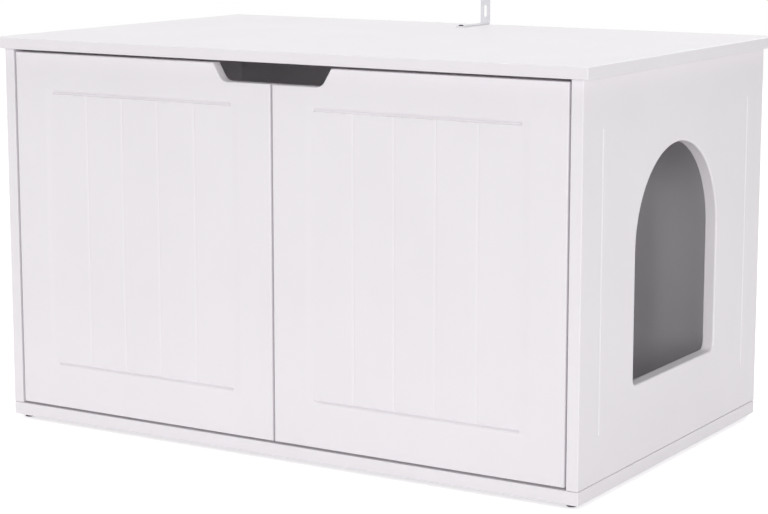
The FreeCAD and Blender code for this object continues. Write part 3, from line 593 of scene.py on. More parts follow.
@dataclass
class Skin:
    """Collects the surfaces of one board or fitting and makes them one closed mesh.

    Attributes:
        facing: Which way its outer face looks.
        origin: Where the plane of its outer face begins, in millimetres.
    """

    facing: Facing
    origin: tuple[float, float, float]
    points: list[np.ndarray] = field(default_factory=list)
    faces: list[list[list[int]]] = field(default_factory=list)
    count: int = 0

    def take(self, points: np.ndarray, faces: np.ndarray) -> None:
        """Takes in one surface.

        Args:
            points: Its points in the frame of the whole.
            faces: Its faces, as indices of its points.
        """
        self.points.append(points)
        self.faces.append((faces + self.count).tolist())
        self.count += len(points)

    def add(self, flat: np.ndarray, depth: np.ndarray | float, faces: np.ndarray) -> None:
        """Takes in a surface given by points of the board's own plane and their depths."""
        self.take(self.facing.place(flat, depth, self.origin), faces)

    def wall(self, outline: Outline, insets: np.ndarray, depths: np.ndarray) -> None:
        """Carries an edge's profile round an outline.

        Point (i, k) is the outline moved in by inset k, at depth k. With depths that grow, the wall
        looks away from the board.

        Args:
            outline: The line that the profile follows.
            insets: The profile's insets.
            depths: The profile's depths, growing.
        """
        rows = np.stack([outline.at(inset) for inset in insets])
        rings, around = rows.shape[:2]
        index = np.arange(rings * around).reshape(rings, around)
        ahead = np.roll(index, -1, 1)
        quads = np.stack([index[:-1], index[1:], ahead[1:], ahead[:-1]], -1).reshape(-1, 4)
        self.add(rows.reshape(-1, 2), np.repeat(depths, around), quads)

    def cap(self, loops: Sequence[np.ndarray], depth: float, outer: bool = True) -> None:
        """Fills the flat face inside the first loop and outside the others.

        Args:
            loops: The face's closed lines.
            depth: Depth of the face.
            outer: True where it looks outward, False where it looks inward.
        """
        rounded = [np.round(loop, CAP_DECIMALS) for loop in loops]
        kept = [np.unique(loop, axis=0, return_index=True)[1] for loop in rounded]
        loops = [loop[np.sort(index)] for loop, index in zip(loops, kept)]
        ends = np.cumsum([len(loop) for loop in loops])
        rings = [list(range(end - len(loop), end)) for loop, end in zip(loops, ends)]
        flat, _, triangles, *_ = delaunay_2d_cdt(
            np.concatenate(loops).tolist(), [], rings, FILL_MODE, CAP_TOLERANCE
        )
        flat, triangles = np.array([tuple(p) for p in flat]), np.array(triangles)
        a, b, c = (flat[triangles[:, k]] for k in range(3))
        (ab_x, ab_y), (ac_x, ac_y) = (b - a).T, (c - a).T
        wrong = (ab_x * ac_y - ab_y * ac_x > 0) != outer
        triangles[wrong] = triangles[wrong][:, ::-1]
        self.add(flat, depth, triangles)

    def field(self, first: np.ndarray, second: np.ndarray, depth: np.ndarray) -> np.ndarray:
        """Lays a relief over a rectangle: depth is a function of the two coordinates on a grid.

        Args:
            first: The grid's first coordinates, growing.
            second: The grid's second coordinates, growing.
            depth: The depth at each, one row a second coordinate.

        Returns:
            The closed line round the rectangle, with all the grid's points on it.
        """
        grid_a, grid_b = np.meshgrid(first, second)
        index = np.arange(grid_a.size).reshape(grid_a.shape)
        quads = np.stack([index[:-1, :-1], index[:-1, 1:], index[1:, 1:], index[1:, :-1]], -1)
        self.add(np.stack([grid_a.ravel(), grid_b.ravel()], 1), depth.ravel(), quads.reshape(-1, 4))
        rim = np.concatenate([index[0, :-1], index[:-1, -1], index[-1, :0:-1], index[:0:-1, 0]])
        return np.stack([grid_a.ravel()[rim], grid_b.ravel()[rim]], 1)

    def slab(self, outline: Outline, thick: float, outer: float, inner: float) -> None:
        """Makes the edge of a board from its outline and the roundings of its two faces."""
        self.wall(outline, *edge_profile(thick, outer, inner))

    def bore(
        self, outline: Outline, bottom: float, mouth: float, round_mouth: float = 0.3
    ) -> np.ndarray:
        """Sinks a blind hole from the inner face.

        Args:
            outline: The hole, clockwise.
            bottom: Depth of the hole's bottom below the outer face.
            mouth: Depth of the inner face.
            round_mouth: Rounding of the hole's mouth.

        Returns:
            The hole's line in the inner face.
        """
        insets, depths = quarter(round_mouth, SMALL_STEPS)
        self.wall(outline, np.append(0.0, insets[::-1]), np.append(bottom, mouth - depths[::-1]))
        self.cap([outline.at(0.0)], bottom, outer=False)
        return outline.at(round_mouth)

    def build(self, name: str, crease: float = 40.0) -> bpy.types.Object:
        """Joins the surfaces where they meet, and makes them an object at the origin.

        Args:
            name: Name of the piece.
            crease: Edges sharper than this many degrees stay sharp.

        Returns:
            The finished piece.
        """
        mesh = bpy.data.meshes.new(name)
        corners = np.concatenate(self.points) * MILLIMETRE
        mesh.from_pydata(corners, [], [face for sheet in self.faces for face in sheet])
        soft = bmesh.new()
        soft.from_mesh(mesh)
        bmesh.ops.remove_doubles(soft, verts=soft.verts, dist=WELD * MILLIMETRE)
        soft.to_mesh(mesh)
        soft.free()
        mesh.polygons.foreach_set("use_smooth", np.ones(len(mesh.polygons), bool))
        mesh.set_sharp_from_angle(angle=math.radians(crease))
        piece = bpy.data.objects.new(name, mesh)
        bpy.context.scene.collection.objects.link(piece)
        even = piece.modifiers.new("even_light", "WEIGHTED_NORMAL")
        even.keep_sharp = True
        return piece


def smooth(x: np.ndarray) -> np.ndarray:
    """Eases from 0 to 1: 3 x^2 - 2 x^3, held at 0 before and at 1 after."""
    x = np.clip(x, 0, 1)
    return x * x * (3 - 2 * x)


def settle(piece: bpy.types.Object, coat: Coat, body: str, *nodes: str) -> bpy.types.Object:
    """Dresses a new piece, lets it ride on its body, and says which CAD nodes it stands for.

    Args:
        piece: The new piece.
        coat: Its finish.
        body: The body that it rides on.
        nodes: The CAD nodes that it stands for.

    Returns:
        The same piece.
    """
    dress(piece, coat)
    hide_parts(*nodes)
    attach(piece, body)
    LOG.info("%s stands for %s on %s", piece.name, ", ".join(nodes), body)
    return piece


def join(name: str, surfaces: Sequence[Surface], coat: Coat, body: str, node: str) -> None:
    """Makes one piece of finished surfaces, each of them a closed solid, and settles it.

    Args:
        name: Name of the piece.
        surfaces: The points and the faces of each solid.
        coat: Its finish.
        body: The body that it rides on.
        node: The CAD node that it stands for.
    """
    skin = Skin(Facing.UP, (0.0, 0.0, 0.0))
    for points, faces in surfaces:
        skin.take(points, faces)
    settle(skin.build(name), coat, body, node)


# --- The carcass ----------------------------------------------------------------------------------

CABINET = "cabinet"


class Side(Enum):
    """The cabinet's two sides, seen from its front."""

    LEFT = -1
    RIGHT = 1

    @property
    def word(self) -> str:
        """Returns the side's name in lower case."""
        return self.name.lower()


@dataclass(frozen=True)
class Carcass:
    """The tabletop, the base board, the two side panels and the hardboard back."""

    front: float = -276.0
    rear: float = 272.0
    half_width: float = 439.0
    side_thick: float = 16.0
    base_low: float = 5.0
    base_high: float = 22.0
    panel_high: float = 516.0
    top_high: float = 531.0
    top_half_width: float = 450.0
    top_half_depth: float = 288.0
    top_round: float = 1.2
    corner_round: float = 1.5
    arris: float = 0.5
    joint_arris: float = 1.2
    joint_gap: float = 0.6
    arch_middle: float = -2.0
    arch_half: float = 125.0
    arch_sill: float = 122.0
    arch_spring: float = 290.5
    arch_corner: float = 10.0
    arch_round: float = 2.5
    line_places: tuple[float, float] = (-222.5, 218.5)
    line_low: float = 80.0
    line_high: float = 454.0
    line_width: float = 4.0
    line_depth: float = 1.2
    cam_inset: float = 60.0
    cam_setback: float = 34.0
    cam_radius: float = 7.5
    cam_depth: float = 12.5
    arch_steps: int = 28
    line_steps: int = 6

    def make_top(self) -> None:
        """Makes the tabletop: a slab whose upper, lower and upright edges are softly rounded."""
        skin = Skin(Facing.UP, (0.0, 0.0, self.top_high))
        size = np.array([self.top_half_width, self.top_half_depth])
        outline = Outline.box(-size, size, self.top_round)
        thick = self.top_high - self.panel_high
        skin.slab(outline, thick, self.top_round, self.top_round)
        skin.cap([outline.at(self.top_round)], 0.0)
        skin.cap([outline.at(self.top_round)], thick, outer=False)
        settle(skin.build("tabletop"), Coat.LACQUER, CABINET, "top_board")

    def make_base(self) -> None:
        """Makes the base board, flush with the sides and with the doors' fronts."""
        skin = Skin(Facing.UP, (0.0, 0.0, self.base_high))
        low, high = (-self.half_width, self.front), (self.half_width, self.rear)
        outline = Outline.box(low, high, self.corner_round)
        thick = self.base_high - self.base_low
        skin.slab(outline, thick, self.joint_arris, self.arris)
        skin.cap([outline.at(self.joint_arris)], 0.0)
        skin.cap([outline.at(self.arris)], thick, outer=False)
        settle(skin.build("floor_board"), Coat.LACQUER, CABINET, "base_board")

    def upright_line(self, skin: Skin, middle: float) -> np.ndarray:
        """Cuts one upright V-shaped line into the outer face, with soft shoulders.

        From its rim the line goes down by d (1 - cos(pi t)) / 2, with d its depth, while it moves in
        by half its width times t, so that the two walls meet in a rounded bottom.

        Args:
            skin: The side panel.
            middle: The line's middle, in the face's own plane.

        Returns:
            The line's rim in the outer face.
        """
        half = self.line_width / 2
        low, high = (middle - half, self.line_low), (middle + half, self.line_high)
        rim = Outline.box(low, high, hole=True)
        share = np.linspace(0, 1, self.line_steps + 1)
        # a hole's own insets run away from it, so that going into the line is a negative one
        skin.wall(rim, -half * share, self.line_depth * (1 - np.cos(np.pi * share)) / 2)
        return rim.at(0.0)

    def make_side(self, side: Side) -> None:
        """Makes a side panel with its two lines, its cam bores and, on the right, the cat's arch.

        The panel stands a joint's width clear of the base board, which shows as a dark line. The
        arch is a hole with a half round on top, and its outer rim is rounded by a router.

        Args:
            side: Which of the two panels.
        """
        facing = Facing.RIGHT if side is Side.RIGHT else Facing.LEFT
        turn = side.value
        skin = Skin(facing, (turn * self.half_width, 0.0, 0.0))
        ends = sorted((turn * self.front, turn * self.rear))
        foot = self.base_high + self.joint_gap
        outline = Outline.box((ends[0], foot), (ends[1], self.panel_high), self.arris)
        skin.slab(outline, self.side_thick, self.corner_round, self.arris)
        outer, inner = [outline.at(self.corner_round)], [outline.at(self.arris)]
        outer += [self.upright_line(skin, turn * middle) for middle in self.line_places]
        for y in (self.front + self.cam_inset, self.rear - self.cam_inset):
            for z in (self.base_high + self.cam_setback, self.panel_high - self.cam_setback):
                hole = Outline.circle((turn * y, z), self.cam_radius)
                inner.append(skin.bore(hole, self.side_thick - self.cam_depth, self.side_thick))
        if side is Side.RIGHT:
            low, high = self.arch_middle - self.arch_half, self.arch_middle + self.arch_half
            crown = self.arch_spring + self.arch_half
            corners = [(low, self.arch_sill), (low, crown), (high, crown), (high, self.arch_sill)]
            radii = [self.arch_corner, self.arch_half, self.arch_half, self.arch_corner]
            arch = Outline.through(corners, radii, self.arch_steps)
            skin.slab(arch, self.side_thick, self.arch_round, self.arris)
            outer.append(arch.at(self.arch_round))
            inner.append(arch.at(self.arris))
        skin.cap(outer, 0.0)
        skin.cap(inner, self.side_thick, outer=False)
        settle(skin.build(f"{side.word}_panel"), Coat.LACQUER, CABINET, f"{side.word}_side_panel")

    def build(self) -> None:
        """Makes all the carcass's boards."""
        self.make_top()
        self.make_base()
        for side in Side:
            self.make_side(side)
        dress(NODES["back_panel"], Coat.HARDBOARD)


# --- The doors ------------------------------------------------------------------------------------


@dataclass(frozen=True)
class Door:
    """A panelled door: a flat frame round a sunk field of boards, with half of the finger notch."""

    side: Side
    front: float = -276.0
    inner_edge: float = 1.5
    hinge_edge: float = 420.0
    low: float = 25.0
    high: float = 511.5
    thick: float = 15.0
    front_round: float = 2.0
    arris: float = 0.5
    notch_mouth: float = 90.0
    notch_bottom: float = 76.0
    notch_level: float = 488.0
    notch_corner: float = 14.0
    field_low: tuple[float, float] = (63.0, 86.5)
    field_high: tuple[float, float] = (358.5, 459.0)
    border: float = 14.0
    field_depth: float = 0.8
    boards: int = 5
    groove_width: float = 8.0
    groove_depth: float = 0.35
    crease_width: float = 1.2
    crease_depth: float = 0.35
    valley_depth: float = 3.6
    valley_flat: float = 1.5
    valley_bend: float = 6.0
    end_round: float = 1.0
    cup_inset: float = 22.0
    cup_radius: float = 17.5
    cup_depth: float = 12.0
    cup_levels: tuple[float, float] = (120.0, 416.5)
    corner_soft: float = 0.6
    mouth_soft: float = 1.0
    border_lines: int = 13
    border_bend: float = 1.5
    groove_lines: int = 9
    fine_lines: int = 7
    board_margin: float = 4.0
    up_lines: int = 12
    up_margin: float = 10.0

    def outline(self) -> Outline:
        """Draws the door's edge, with the notch at its upper inner corner.

        Returns:
            The outline, mirrored for the left door.
        """
        corners = [
            (self.inner_edge, self.low),
            (self.hinge_edge, self.low),
            (self.hinge_edge, self.high),
            (self.notch_mouth, self.high),
            (self.notch_bottom, self.notch_level),
            (self.inner_edge, self.notch_level),
        ]
        soft = self.corner_soft
        radii = [soft, soft, soft, self.mouth_soft, self.notch_corner, soft]
        if self.side is Side.LEFT:
            corners = [(-x, z) for x, z in corners[::-1]]
            radii = radii[::-1]
        return Outline.through(corners, radii)

    def relief(self, across: np.ndarray, up: np.ndarray) -> np.ndarray:
        """Works out the field's depth below the door's front.

        At its sides the frame eases down to the boards, f (1 - e(s)) with s the way out over the
        border. At its ends it bends ever steeper into a flat valley, (f + v) (1 - s)^p,
        and the boards rise from that by a quarter round of height v. Between two boards lies a wide
        groove with a crease in it, g (1 - e(u)) + c (1 - e(w)), with u and w the way from its middle
        over half of each one's width. The shallowest surface holds, and the frame's two end with
        the field.

        Args:
            across: Coordinates from side to side, one a column.
            up: Coordinates from bottom to top, one a row.

        Returns:
            The depth at each point of the grid.
        """
        low, high = np.array(self.field_low), np.array(self.field_high)
        pitch = (high[0] - low[0]) / self.boards
        a, b = np.meshgrid(across, up)
        beside = np.maximum(low[0] - a, a - high[0]) / self.border
        beyond = np.clip(np.maximum(low[1] - b, b - high[1]) / self.border, 0, 1)
        frame_side = self.field_depth * (1 - smooth(beside))
        frame_end = (self.field_depth + self.valley_depth) * (1 - beyond) ** self.valley_bend
        frame_side[beside < 0] = frame_end[beyond <= 0] = np.inf
        middles = low[0] + pitch * np.arange(1, self.boards)
        from_groove = np.abs(a[..., None] - middles).min(-1)
        groove = self.groove_depth * (1 - smooth(from_groove / (self.groove_width / 2)))
        groove += self.crease_depth * (1 - smooth(from_groove / (self.crease_width / 2)))
        onto = (np.minimum(b - low[1], high[1] - b) - self.valley_flat) / self.end_round
        onto = np.clip(onto, 0, 1)
        end = self.valley_depth * (1 - np.sqrt(1 - (1 - onto) ** 2))
        boards = self.field_depth + np.maximum(groove, end)
        return np.minimum.reduce([frame_side, frame_end, boards])

    def grid(self, axis: int) -> np.ndarray:
        """Spaces the grid's lines, close together over the border, the shoulders and the grooves.

        Args:
            axis: 0 for the lines from side to side, 1 for those from bottom to top.

        Returns:
            The coordinates of the lines, growing.
        """
        low, high = self.field_low[axis], self.field_high[axis]
        border = np.linspace(0, 1, self.border_lines) ** self.border_bend * self.border
        turn = np.linspace(0, np.pi / 2, self.fine_lines)
        shoulder = self.valley_flat + self.end_round * (1 - np.cos(turn))
        lines = [low - border, low + shoulder, high + border, high - shoulder]
        if axis == 0:
            pitch = (high - low) / self.boards
            half, half_crease = self.groove_width / 2, self.crease_width / 2
            near = np.linspace(-half, half, self.groove_lines)
            crease = np.linspace(-half_crease, half_crease, self.fine_lines)
            across = np.linspace(self.board_margin, pitch - self.board_margin, self.fine_lines)
            lines += [low + pitch * k + near for k in range(1, self.boards)]
            lines += [low + pitch * k + crease for k in range(1, self.boards)]
            lines += [low + pitch * k + across for k in range(self.boards)]
        else:
            lines.append(np.linspace(low + self.up_margin, high - self.up_margin, self.up_lines))
        return np.unique(np.round(np.concatenate(lines), 4))

    def build(self) -> None:
        """Makes the door and lets it ride on its leaf."""
        turn = self.side.value
        skin = Skin(Facing.FRONT, (0.0, self.front, 0.0))
        across, up = self.grid(0), self.grid(1)
        depth = self.relief(across, up)
        if turn < 0:
            across, depth = -across[::-1], depth[:, ::-1]
        rim = skin.field(across, up, depth)
        outline = self.outline()
        skin.slab(outline, self.thick, self.front_round, self.arris)
        skin.cap([outline.at(self.front_round), rim], 0.0)
        back = [outline.at(self.arris)]
        cup_place = turn * (self.hinge_edge - self.cup_inset)
        for level in self.cup_levels:
            hole = Outline.circle((cup_place, level), self.cup_radius)
            back.append(skin.bore(hole, self.thick - self.cup_depth, self.thick))
        skin.cap(back, self.thick, outer=False)
        word = self.side.word
        settle(skin.build(f"{word}_leaf"), Coat.LACQUER, f"{word}_door_leaf", f"{word}_door")


# --- Fittings -------------------------------------------------------------------------------------


@dataclass(frozen=True)
class Turning:
    """A piece turned on a lathe, as rings of points round its axis.

    Point (i, k) = start + h along the axis + r (cos a across + sin a aside), with a = 2 pi k / n for
    n points a ring, and with r the radius and h the height that ring i has at the angle a. The first
    and the last ring have the radius 0, which closes both poles.
    """

    around: int = 48

    def angles(self) -> np.ndarray:
        """Returns the angles of a ring's points."""
        return np.arange(self.around) * 2 * np.pi / self.around

    def surface(
        self, radii: np.ndarray, heights: np.ndarray, start: Sequence[float], axis: Sequence[float]
    ) -> Surface:
        """Places the rings.

        Args:
            radii: Radius of each point, one ring a row.
            heights: Height of each point along the axis.
            start: Where the axis has the height 0, in millimetres.
            axis: Which way the heights grow.

        Returns:
            The points, one a row, and the faces between them, which look away from the axis.
        """
        along = np.array(axis, float)
        across = np.roll(along, -1)
        aside = np.cross(along, across)
        angle = self.angles()[:, None]
        outward = np.cos(angle) * across + np.sin(angle) * aside
        points = np.array(start, float) + heights[..., None] * along + radii[..., None] * outward
        index = np.arange(radii.size).reshape(radii.shape)
        ahead = np.roll(index, -1, 1)
        quads = np.stack([index[:-1], ahead[:-1], ahead[1:], index[1:]], -1).reshape(-1, 4)
        return points.reshape(-1, 3), quads


@dataclass(frozen=True)
class Screw:
    """A pan-head screw with a cross recess and a rolled thread."""

    head_radius: float = 3.0
    head_thick: float = 1.2
    radius: float = 1.6
    length: float = 11.2
    pitch: float = 1.3
    thread: float = 0.35
    point: float = 2.5
    recess_depth: float = 0.8
    recess_reach: float = 0.6
    recess_half: float = 0.14
    recess_slope: float = 0.1
    rings_a_turn: int = 4
    head_rings: int = 19
    head_crowding: float = 1.5
    dome_power: int = 4

    def cross(self, x: np.ndarray, y: np.ndarray) -> np.ndarray:
        """Tells how far down the recess is: 1 in either arm of the cross, easing to 0 beside it.

        Args:
            x: First coordinate of each point, as a share of the head's radius.
            y: Its second coordinate.

        Returns:
            The share of the recess's full depth at each point.
        """
        arms = [
            smooth((self.recess_half - np.abs(p)) / self.recess_slope + 1)
            * smooth((self.recess_reach - np.abs(q)) / self.recess_slope)
            for p, q in ((x, y), (y, x))
        ]
        return np.maximum(*arms)

    def surface(self, seat: Sequence[float], axis: Sequence[float]) -> Surface:
        """Works out the screw's one closed surface, from its point to the middle of its head.

        At the height h and the angle a the thread's radius is r - c |2 (h / p - a / 2 pi mod 1) - 1|
        with pitch p and crest height c, tapered to nothing over the point. The head, t thick and of
        radius R, is t (1 - (q / R)^4)^(1/2) high at the radius q, less the recess.

        Args:
            seat: Where the head's underside meets the axis.
            axis: Which way the head looks.

        Returns:
            The points and the faces.
        """
        turning = Turning()
        angle = turning.angles()
        rings = int(self.length / self.pitch * self.rings_a_turn) + 1
        shank = np.linspace(-self.length, 0, rings)[:, None] + 0 * angle
        wave = np.abs(2 * ((shank / self.pitch - angle / (2 * np.pi)) % 1) - 1)
        taper = np.clip((shank + self.length) / self.point, 0, 1)
        rolled = (self.radius - self.thread * wave) * taper
        share = 1 - np.linspace(0, 1, self.head_rings) ** self.head_crowding
        share = share[:, None] + 0 * angle
        dome = self.head_thick * np.sqrt(1 - share**self.dome_power)
        dome -= self.recess_depth * self.cross(share * np.cos(angle), share * np.sin(angle))
        radii = np.concatenate([rolled, self.head_radius * share])
        return turning.surface(radii, np.concatenate([shank, dome]), seat, axis)


@dataclass(frozen=True)
class WallAngle:
    """The steel angle on the tabletop's rear edge: a bent strip with a screw hole and a slot."""

    middle: float = -4.0
    half_width: float = 7.5
    front: float = 208.0
    rear: float = 288.0
    face: float = 532.8
    high: float = 571.0
    thick: float = 1.8
    bend_radius: float = 2.0
    corner: float = 5.0
    arris: float = 0.35
    hole_place: float = 215.0
    hole_radius: float = 2.2
    slot: tuple[float, float] = (541.7, 559.3)
    slot_half: float = 2.4
    screw: Screw = Screw(
        head_radius=3.8,
        head_thick=1.6,
        radius=1.9,
        length=12.3,
        pitch=1.5,
        thread=0.4,
        point=3.0,
        recess_depth=1.1,
    )
    bend_lines: int = 9

    @property
    def bend_start(self) -> float:
        """Returns where the bend begins along the strip."""
        return self.rear - self.thick - self.bend_radius

    @property
    def bend_end(self) -> float:
        """Returns where the bend ends along the flat strip: a quarter round further on."""
        return self.bend_start + self.bend_radius * math.pi / 2

    def along(self, level: float) -> float:
        """Returns where a level of the upright leg lies along the flat strip."""
        return self.bend_end + level - self.face - self.bend_radius

    def bend(self, points: np.ndarray) -> np.ndarray:
        """Bends the flat strip up.

        With the depth d below the strip's face and the way s along it, the turn t is (s - start) / R
        held between 0 and 90 degrees, and the place is y = min(s, start) + (R + d) sin t and
        z = face + R - (R + d) cos t + whatever of s lies past the bend.

        Args:
            points: The flat strip's points.

        Returns:
            The bent strip's.
        """
        x, s, z = points.T
        reach = self.bend_radius + self.face - z
        turn = np.clip((s - self.bend_start) / self.bend_radius, 0, np.pi / 2)
        past = np.clip(s - self.bend_end, 0, None)
        y = np.minimum(s, self.bend_start) + reach * np.sin(turn)
        return np.stack([x, y, self.face + self.bend_radius - reach * np.cos(turn) + past], 1)

    def build(self) -> None:
        """Makes the angle and its screw."""
        skin = Skin(Facing.UP, (self.middle, 0.0, self.face))
        rows = np.linspace(self.bend_start, self.bend_end, self.bend_lines)
        wide, end = self.half_width, self.along(self.high)
        corners = [(-wide, self.front), (wide, self.front), *((wide, row) for row in rows)]
        corners += [(wide, end), (-wide, end), *((-wide, row) for row in rows[::-1])]
        straight = [0.0] * len(rows)
        radii = [self.corner, self.corner, *straight, self.corner, self.corner, *straight]
        outline = Outline.through(corners, radii)
        low, high = (self.along(level) for level in self.slot)
        half = self.slot_half
        slot = Outline.box((-half, low), (half, high), half, hole=True)
        hole = Outline.circle((0.0, self.hole_place), self.hole_radius)
        for line in (outline, slot, hole):
            skin.slab(line, self.thick, self.arris, self.arris)
        flat = [line.at(self.arris) for line in (outline, slot, hole)]
        skin.cap(flat, 0.0)
        skin.cap(flat, self.thick, outer=False)
        skin.points = [self.bend(sheet) for sheet in skin.points]
        settle(skin.build("bent_angle"), Coat.POWDER, CABINET, "wall_angle")
        screw = self.screw.surface((self.middle, self.hole_place, self.face), (0, 0, 1))
        join("angle_fixing", [screw], Coat.BLACKED, CABINET, "wall_angle_screw")


@dataclass(frozen=True)
class Glide:
    """A nailed-on glide: a turned nylon disc with a domed sole and a bore for its nail."""

    radius: float = 7.0
    high: float = 5.0
    sole_round: float = 1.4
    top_round: float = 0.3
    bore_radius: float = 1.05
    bore_floor: float = 2.0
    places: tuple[tuple[str, float, float], ...] = (
        ("front_left", -424.0, -261.0),
        ("front_right", 424.0, -261.0),
        ("rear_left", -424.0, 257.0),
        ("rear_right", 424.0, 257.0),
    )

    def build(self) -> None:
        """Turns the four glides: sole, rounded edge, side, top, then down the bore to its floor."""
        sole, rise = quarter(self.sole_round, CORNER_STEPS)
        top, fall = quarter(self.top_round, SMALL_STEPS)
        bore = [self.bore_radius, self.bore_radius, 0.0]
        radii = np.concatenate([[0.0], self.radius - sole, (self.radius - top)[::-1], bore])
        bore = [self.high, self.bore_floor, self.bore_floor]
        heights = np.concatenate([[0.0], rise, (self.high - fall)[::-1], bore])
        turning = Turning()
        rings = [np.repeat(line[:, None], turning.around, 1) for line in (radii, heights)]
        for name, x, y in self.places:
            disc = turning.surface(*rings, (x, y, 0.0), (0, 0, 1))
            join(f"glide_{name}", [disc], Coat.NYLON, CABINET, f"foot_{name}")


@dataclass(frozen=True)
class HingeScrews:
    """The screws of the four concealed hinges: two a cup, two a plate and one an arm."""

    levels: tuple[float, float] = (120.0, 416.5)
    cup_across: float = 388.5
    cup_apart: float = 22.5
    cup_seat: float = -259.8
    plate_seat: float = 421.0
    plate_back: float = -224.0
    plate_apart: float = 16.0
    arm_seat: float = 419.0
    arm_back: float = -213.0
    wood_screw: Screw = Screw()
    plate_screw: Screw = Screw(length=13.0)
    arm_screw: Screw = Screw(length=4.0, pitch=0.8, thread=0.2, point=0.5)

    def build(self) -> None:
        """Makes each group of screws as one piece of separate solids."""
        plate, arm = [], []
        for side in Side:
            turn, cup = side.value, []
            inward = (-turn, 0, 0)
            for level in self.levels:
                for step in (-1, 1):
                    up = level + step * self.cup_apart
                    seat = (turn * self.cup_across, self.cup_seat, up)
                    cup.append(self.wood_screw.surface(seat, (0, 1, 0)))
                    up = level + step * self.plate_apart
                    seat = (turn * self.plate_seat, self.plate_back, up)
                    plate.append(self.plate_screw.surface(seat, inward))
                seat = (turn * self.arm_seat, self.arm_back, level)
                arm.append(self.arm_screw.surface(seat, inward))
            name, node = f"{side.word}_cup_fixings", f"{side.word}_cup_screws"
            join(name, cup, Coat.ZINC, f"{side.word}_door_leaf", node)
        join("plate_fixings", plate, Coat.ZINC, CABINET, "hinge_plate_screws")
        join("arm_fixings", arm, Coat.ZINC, CABINET, "hinge_arm_screws")


@dataclass(frozen=True)
class Fittings:
    """The CAD nodes whose shape is right as it is, each with its finish."""

    coats: tuple[tuple[str, Coat], ...] = (
        ("hinge_cup", Coat.NICKEL),
        ("hinge_arm", Coat.NICKEL),
        ("hinge_plate", Coat.NICKEL),
        ("hinge_pin", Coat.ZINC),
        ("cam_bolts", Coat.ZINC),
        ("foot_nails", Coat.ZINC),
        ("cam_locks", Coat.CAST),
        ("dowels", Coat.BEECH),
    )

    def dress(self) -> None:
        """Gives each node the last finish in the list whose words its name holds."""
        for words, coat in self.coats:
            for name in sorted(n for n in NODES if words in n):
                dress(NODES[name], coat)
                LOG.info("%s keeps its CAD shape in %s", name, coat.value.title)


# --- Floor, light and camera ----------------------------------------------------------------------


def seen_rays(tree: bpy.types.NodeTree) -> bpy.types.NodeSocket:
    """Tells the rays that show a surface from those that only light another one.

    Args:
        tree: The node tree that asks.

    Returns:
        The greatest of three values, each 1 for its own rays: camera, glossy and transmission.
    """
    path = add_node(tree, "ShaderNodeLightPath").outputs
    seen = path["Is Camera Ray"]
    for ray in ("Is Glossy Ray", "Is Transmission Ray"):
        greatest = add_node(tree, "ShaderNodeMath", {"operation": "MAXIMUM"})
        tree.links.new(seen, greatest.inputs[0])
        tree.links.new(path[ray], greatest.inputs[1])
        seen = greatest.outputs[0]
    return seen


@dataclass(frozen=True)
class Lamp:
    """One soft box: where it stands, what it looks at, its size and its strength in watts."""

    name: str
    place: tuple[float, float, float]
    target: tuple[float, float, float]
    size: float
    power: float

    def build(self) -> None:
        """Hangs the lamp."""
        light = bpy.data.lights.new(self.name, "AREA")
        light.shape = "SQUARE"
        light.size = self.size
        light.energy = self.power
        lamp = bpy.data.objects.new(self.name, light)
        lamp.location = self.place
        look = Vector(self.target) - Vector(self.place)
        lamp.rotation_euler = look.to_track_quat("-Z", "Y").to_euler()
        lamp.visible_camera = False
        bpy.context.scene.collection.objects.link(lamp)


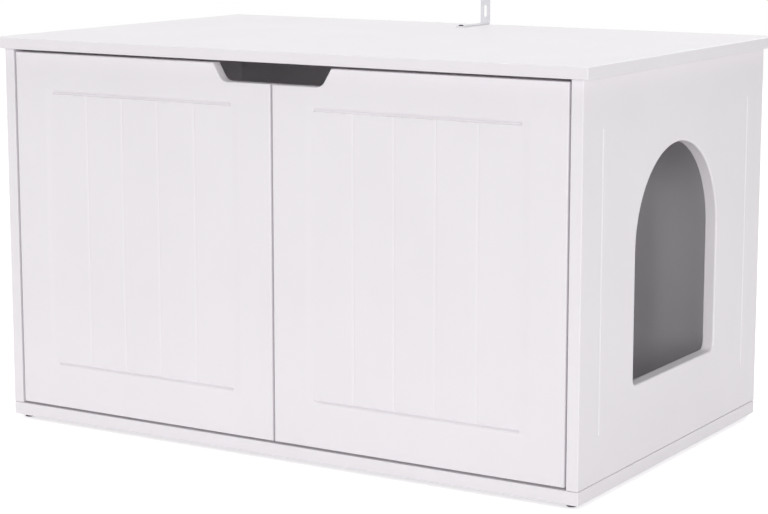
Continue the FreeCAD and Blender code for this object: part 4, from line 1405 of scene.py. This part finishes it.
@dataclass(frozen=True)
class Studio:
    """A pale floor, an even white surround and soft boxes."""

    world_strength: float = 0.31
    floor_half: float = 5.0
    floor_lift: float = 0.55
    floor_colour: str = "F0EEF0"
    floor_roughness: float = 0.9
    floor_gloss: float = 0.1
    lamps: tuple[Lamp, ...] = (
        Lamp("key", (4.74, -15.34, 2.7), (0.2, 0.0, 0.3), 4.0, 492.0),
        Lamp("front_right", (9.38, -13.1, 3.7), (0.2, 0.0, 0.3), 4.0, 300.0),
        Lamp("right", (13.3, -9.2, 3.7), (0.2, 0.0, 0.3), 4.0, 200.0),
        Lamp("front_left", (-7.8, -13.8, 3.7), (0.2, 0.0, 0.3), 4.0, 200.0),
        Lamp("left", (-15.0, 2.0, 3.7), (0.0, 0.0, 0.3), 4.0, 650.0),
        Lamp("back", (-1.0, 15.5, 3.7), (0.0, 0.0, 0.3), 4.0, 750.0),
        Lamp("overhead", (0.0, -0.3, 4.2), (0.0, 0.0, 0.3), 2.5, 58.0),
        Lamp("side", (1.5, -0.33, 0.6), (0.44, -0.1, 0.3), 0.6, 1.7),
    )

    def make_world(self) -> None:
        """Lights the scene evenly, and shows white to the camera, to gloss and through glass."""
        world = bpy.data.worlds.new("studio")
        bpy.context.scene.world = world
        world.use_nodes = True
        tree = world.node_tree
        strength = add_node(
            tree,
            "ShaderNodeMapRange",
            {"To Min": self.world_strength, "To Max": 1.0},
            {"Value": seen_rays(tree)},
        )
        background = tree.nodes["Background"]
        background.inputs["Color"].default_value = (1.0, 1.0, 1.0, 1.0)
        tree.links.new(strength.outputs["Result"], background.inputs["Strength"])

    def make_floor(self) -> None:
        """Lays the floor: matt white that keeps the shadow, lifted to white for the camera."""
        half = self.floor_half
        mesh = bpy.data.meshes.new("floor")
        corners = half * np.array([(-1, -1, 0), (1, -1, 0), (1, 1, 0), (-1, 1, 0)])
        mesh.from_pydata(corners, [], [[0, 1, 2, 3]])
        floor = bpy.data.objects.new("floor", mesh)
        bpy.context.scene.collection.objects.link(floor)
        material = bpy.data.materials.new("matt_white_floor")
        material.use_nodes = True
        tree = material.node_tree
        shader = tree.nodes["Principled BSDF"]
        shader.inputs["Base Color"].default_value = to_linear(self.floor_colour)
        shader.inputs["Roughness"].default_value = self.floor_roughness
        shader.inputs["Specular IOR Level"].default_value = self.floor_gloss
        lift = add_node(
            tree, "ShaderNodeMapRange", {"To Max": self.floor_lift}, {"Value": seen_rays(tree)}
        )
        shader.inputs["Emission Color"].default_value = (1.0, 1.0, 1.0, 1.0)
        tree.links.new(lift.outputs["Result"], shader.inputs["Emission Strength"])
        mesh.materials.append(material)

    def build(self) -> None:
        """Makes the surround, the floor and the lamps."""
        self.make_world()
        self.make_floor()
        for lamp in self.lamps:
            lamp.build()
        bpy.context.scene.view_settings.view_transform = "Standard"


@dataclass(frozen=True)
class Viewpoint:
    """The camera of the photograph, found from the cabinet's straight edges."""

    place: tuple[float, float, float] = (1.5649, -2.5426, 0.7493)
    yaw: float = 31.65
    dip: float = 9.44
    lens: float = 102.55
    shift: float = -0.025
    sensor: float = 36.0
    reach: float = 200.0

    def build(self) -> None:
        """Makes the camera and gives the scene to it."""
        camera = bpy.data.cameras.new("viewpoint")
        camera.lens = self.lens
        camera.sensor_width = self.sensor
        camera.shift_y = self.shift
        camera.clip_end = self.reach
        stand = bpy.data.objects.new("viewpoint", camera)
        stand.location = self.place
        stand.rotation_euler = (math.radians(90 - self.dip), 0.0, math.radians(self.yaw))
        bpy.context.scene.collection.objects.link(stand)
        bpy.context.scene.camera = stand


def main() -> None:
    """Builds the cabinet's sub-assemblies in order, then what lights and shows them."""
    logging.basicConfig(level=logging.INFO, format="%(name)s: %(message)s", stream=sys.stdout)
    Carcass().build()
    for side in Side:
        Door(side).build()
    WallAngle().build()
    Glide().build()
    HingeScrews().build()
    Fittings().dress()
    Studio().build()
    Viewpoint().build()


if __name__ == "__main__":
    main()
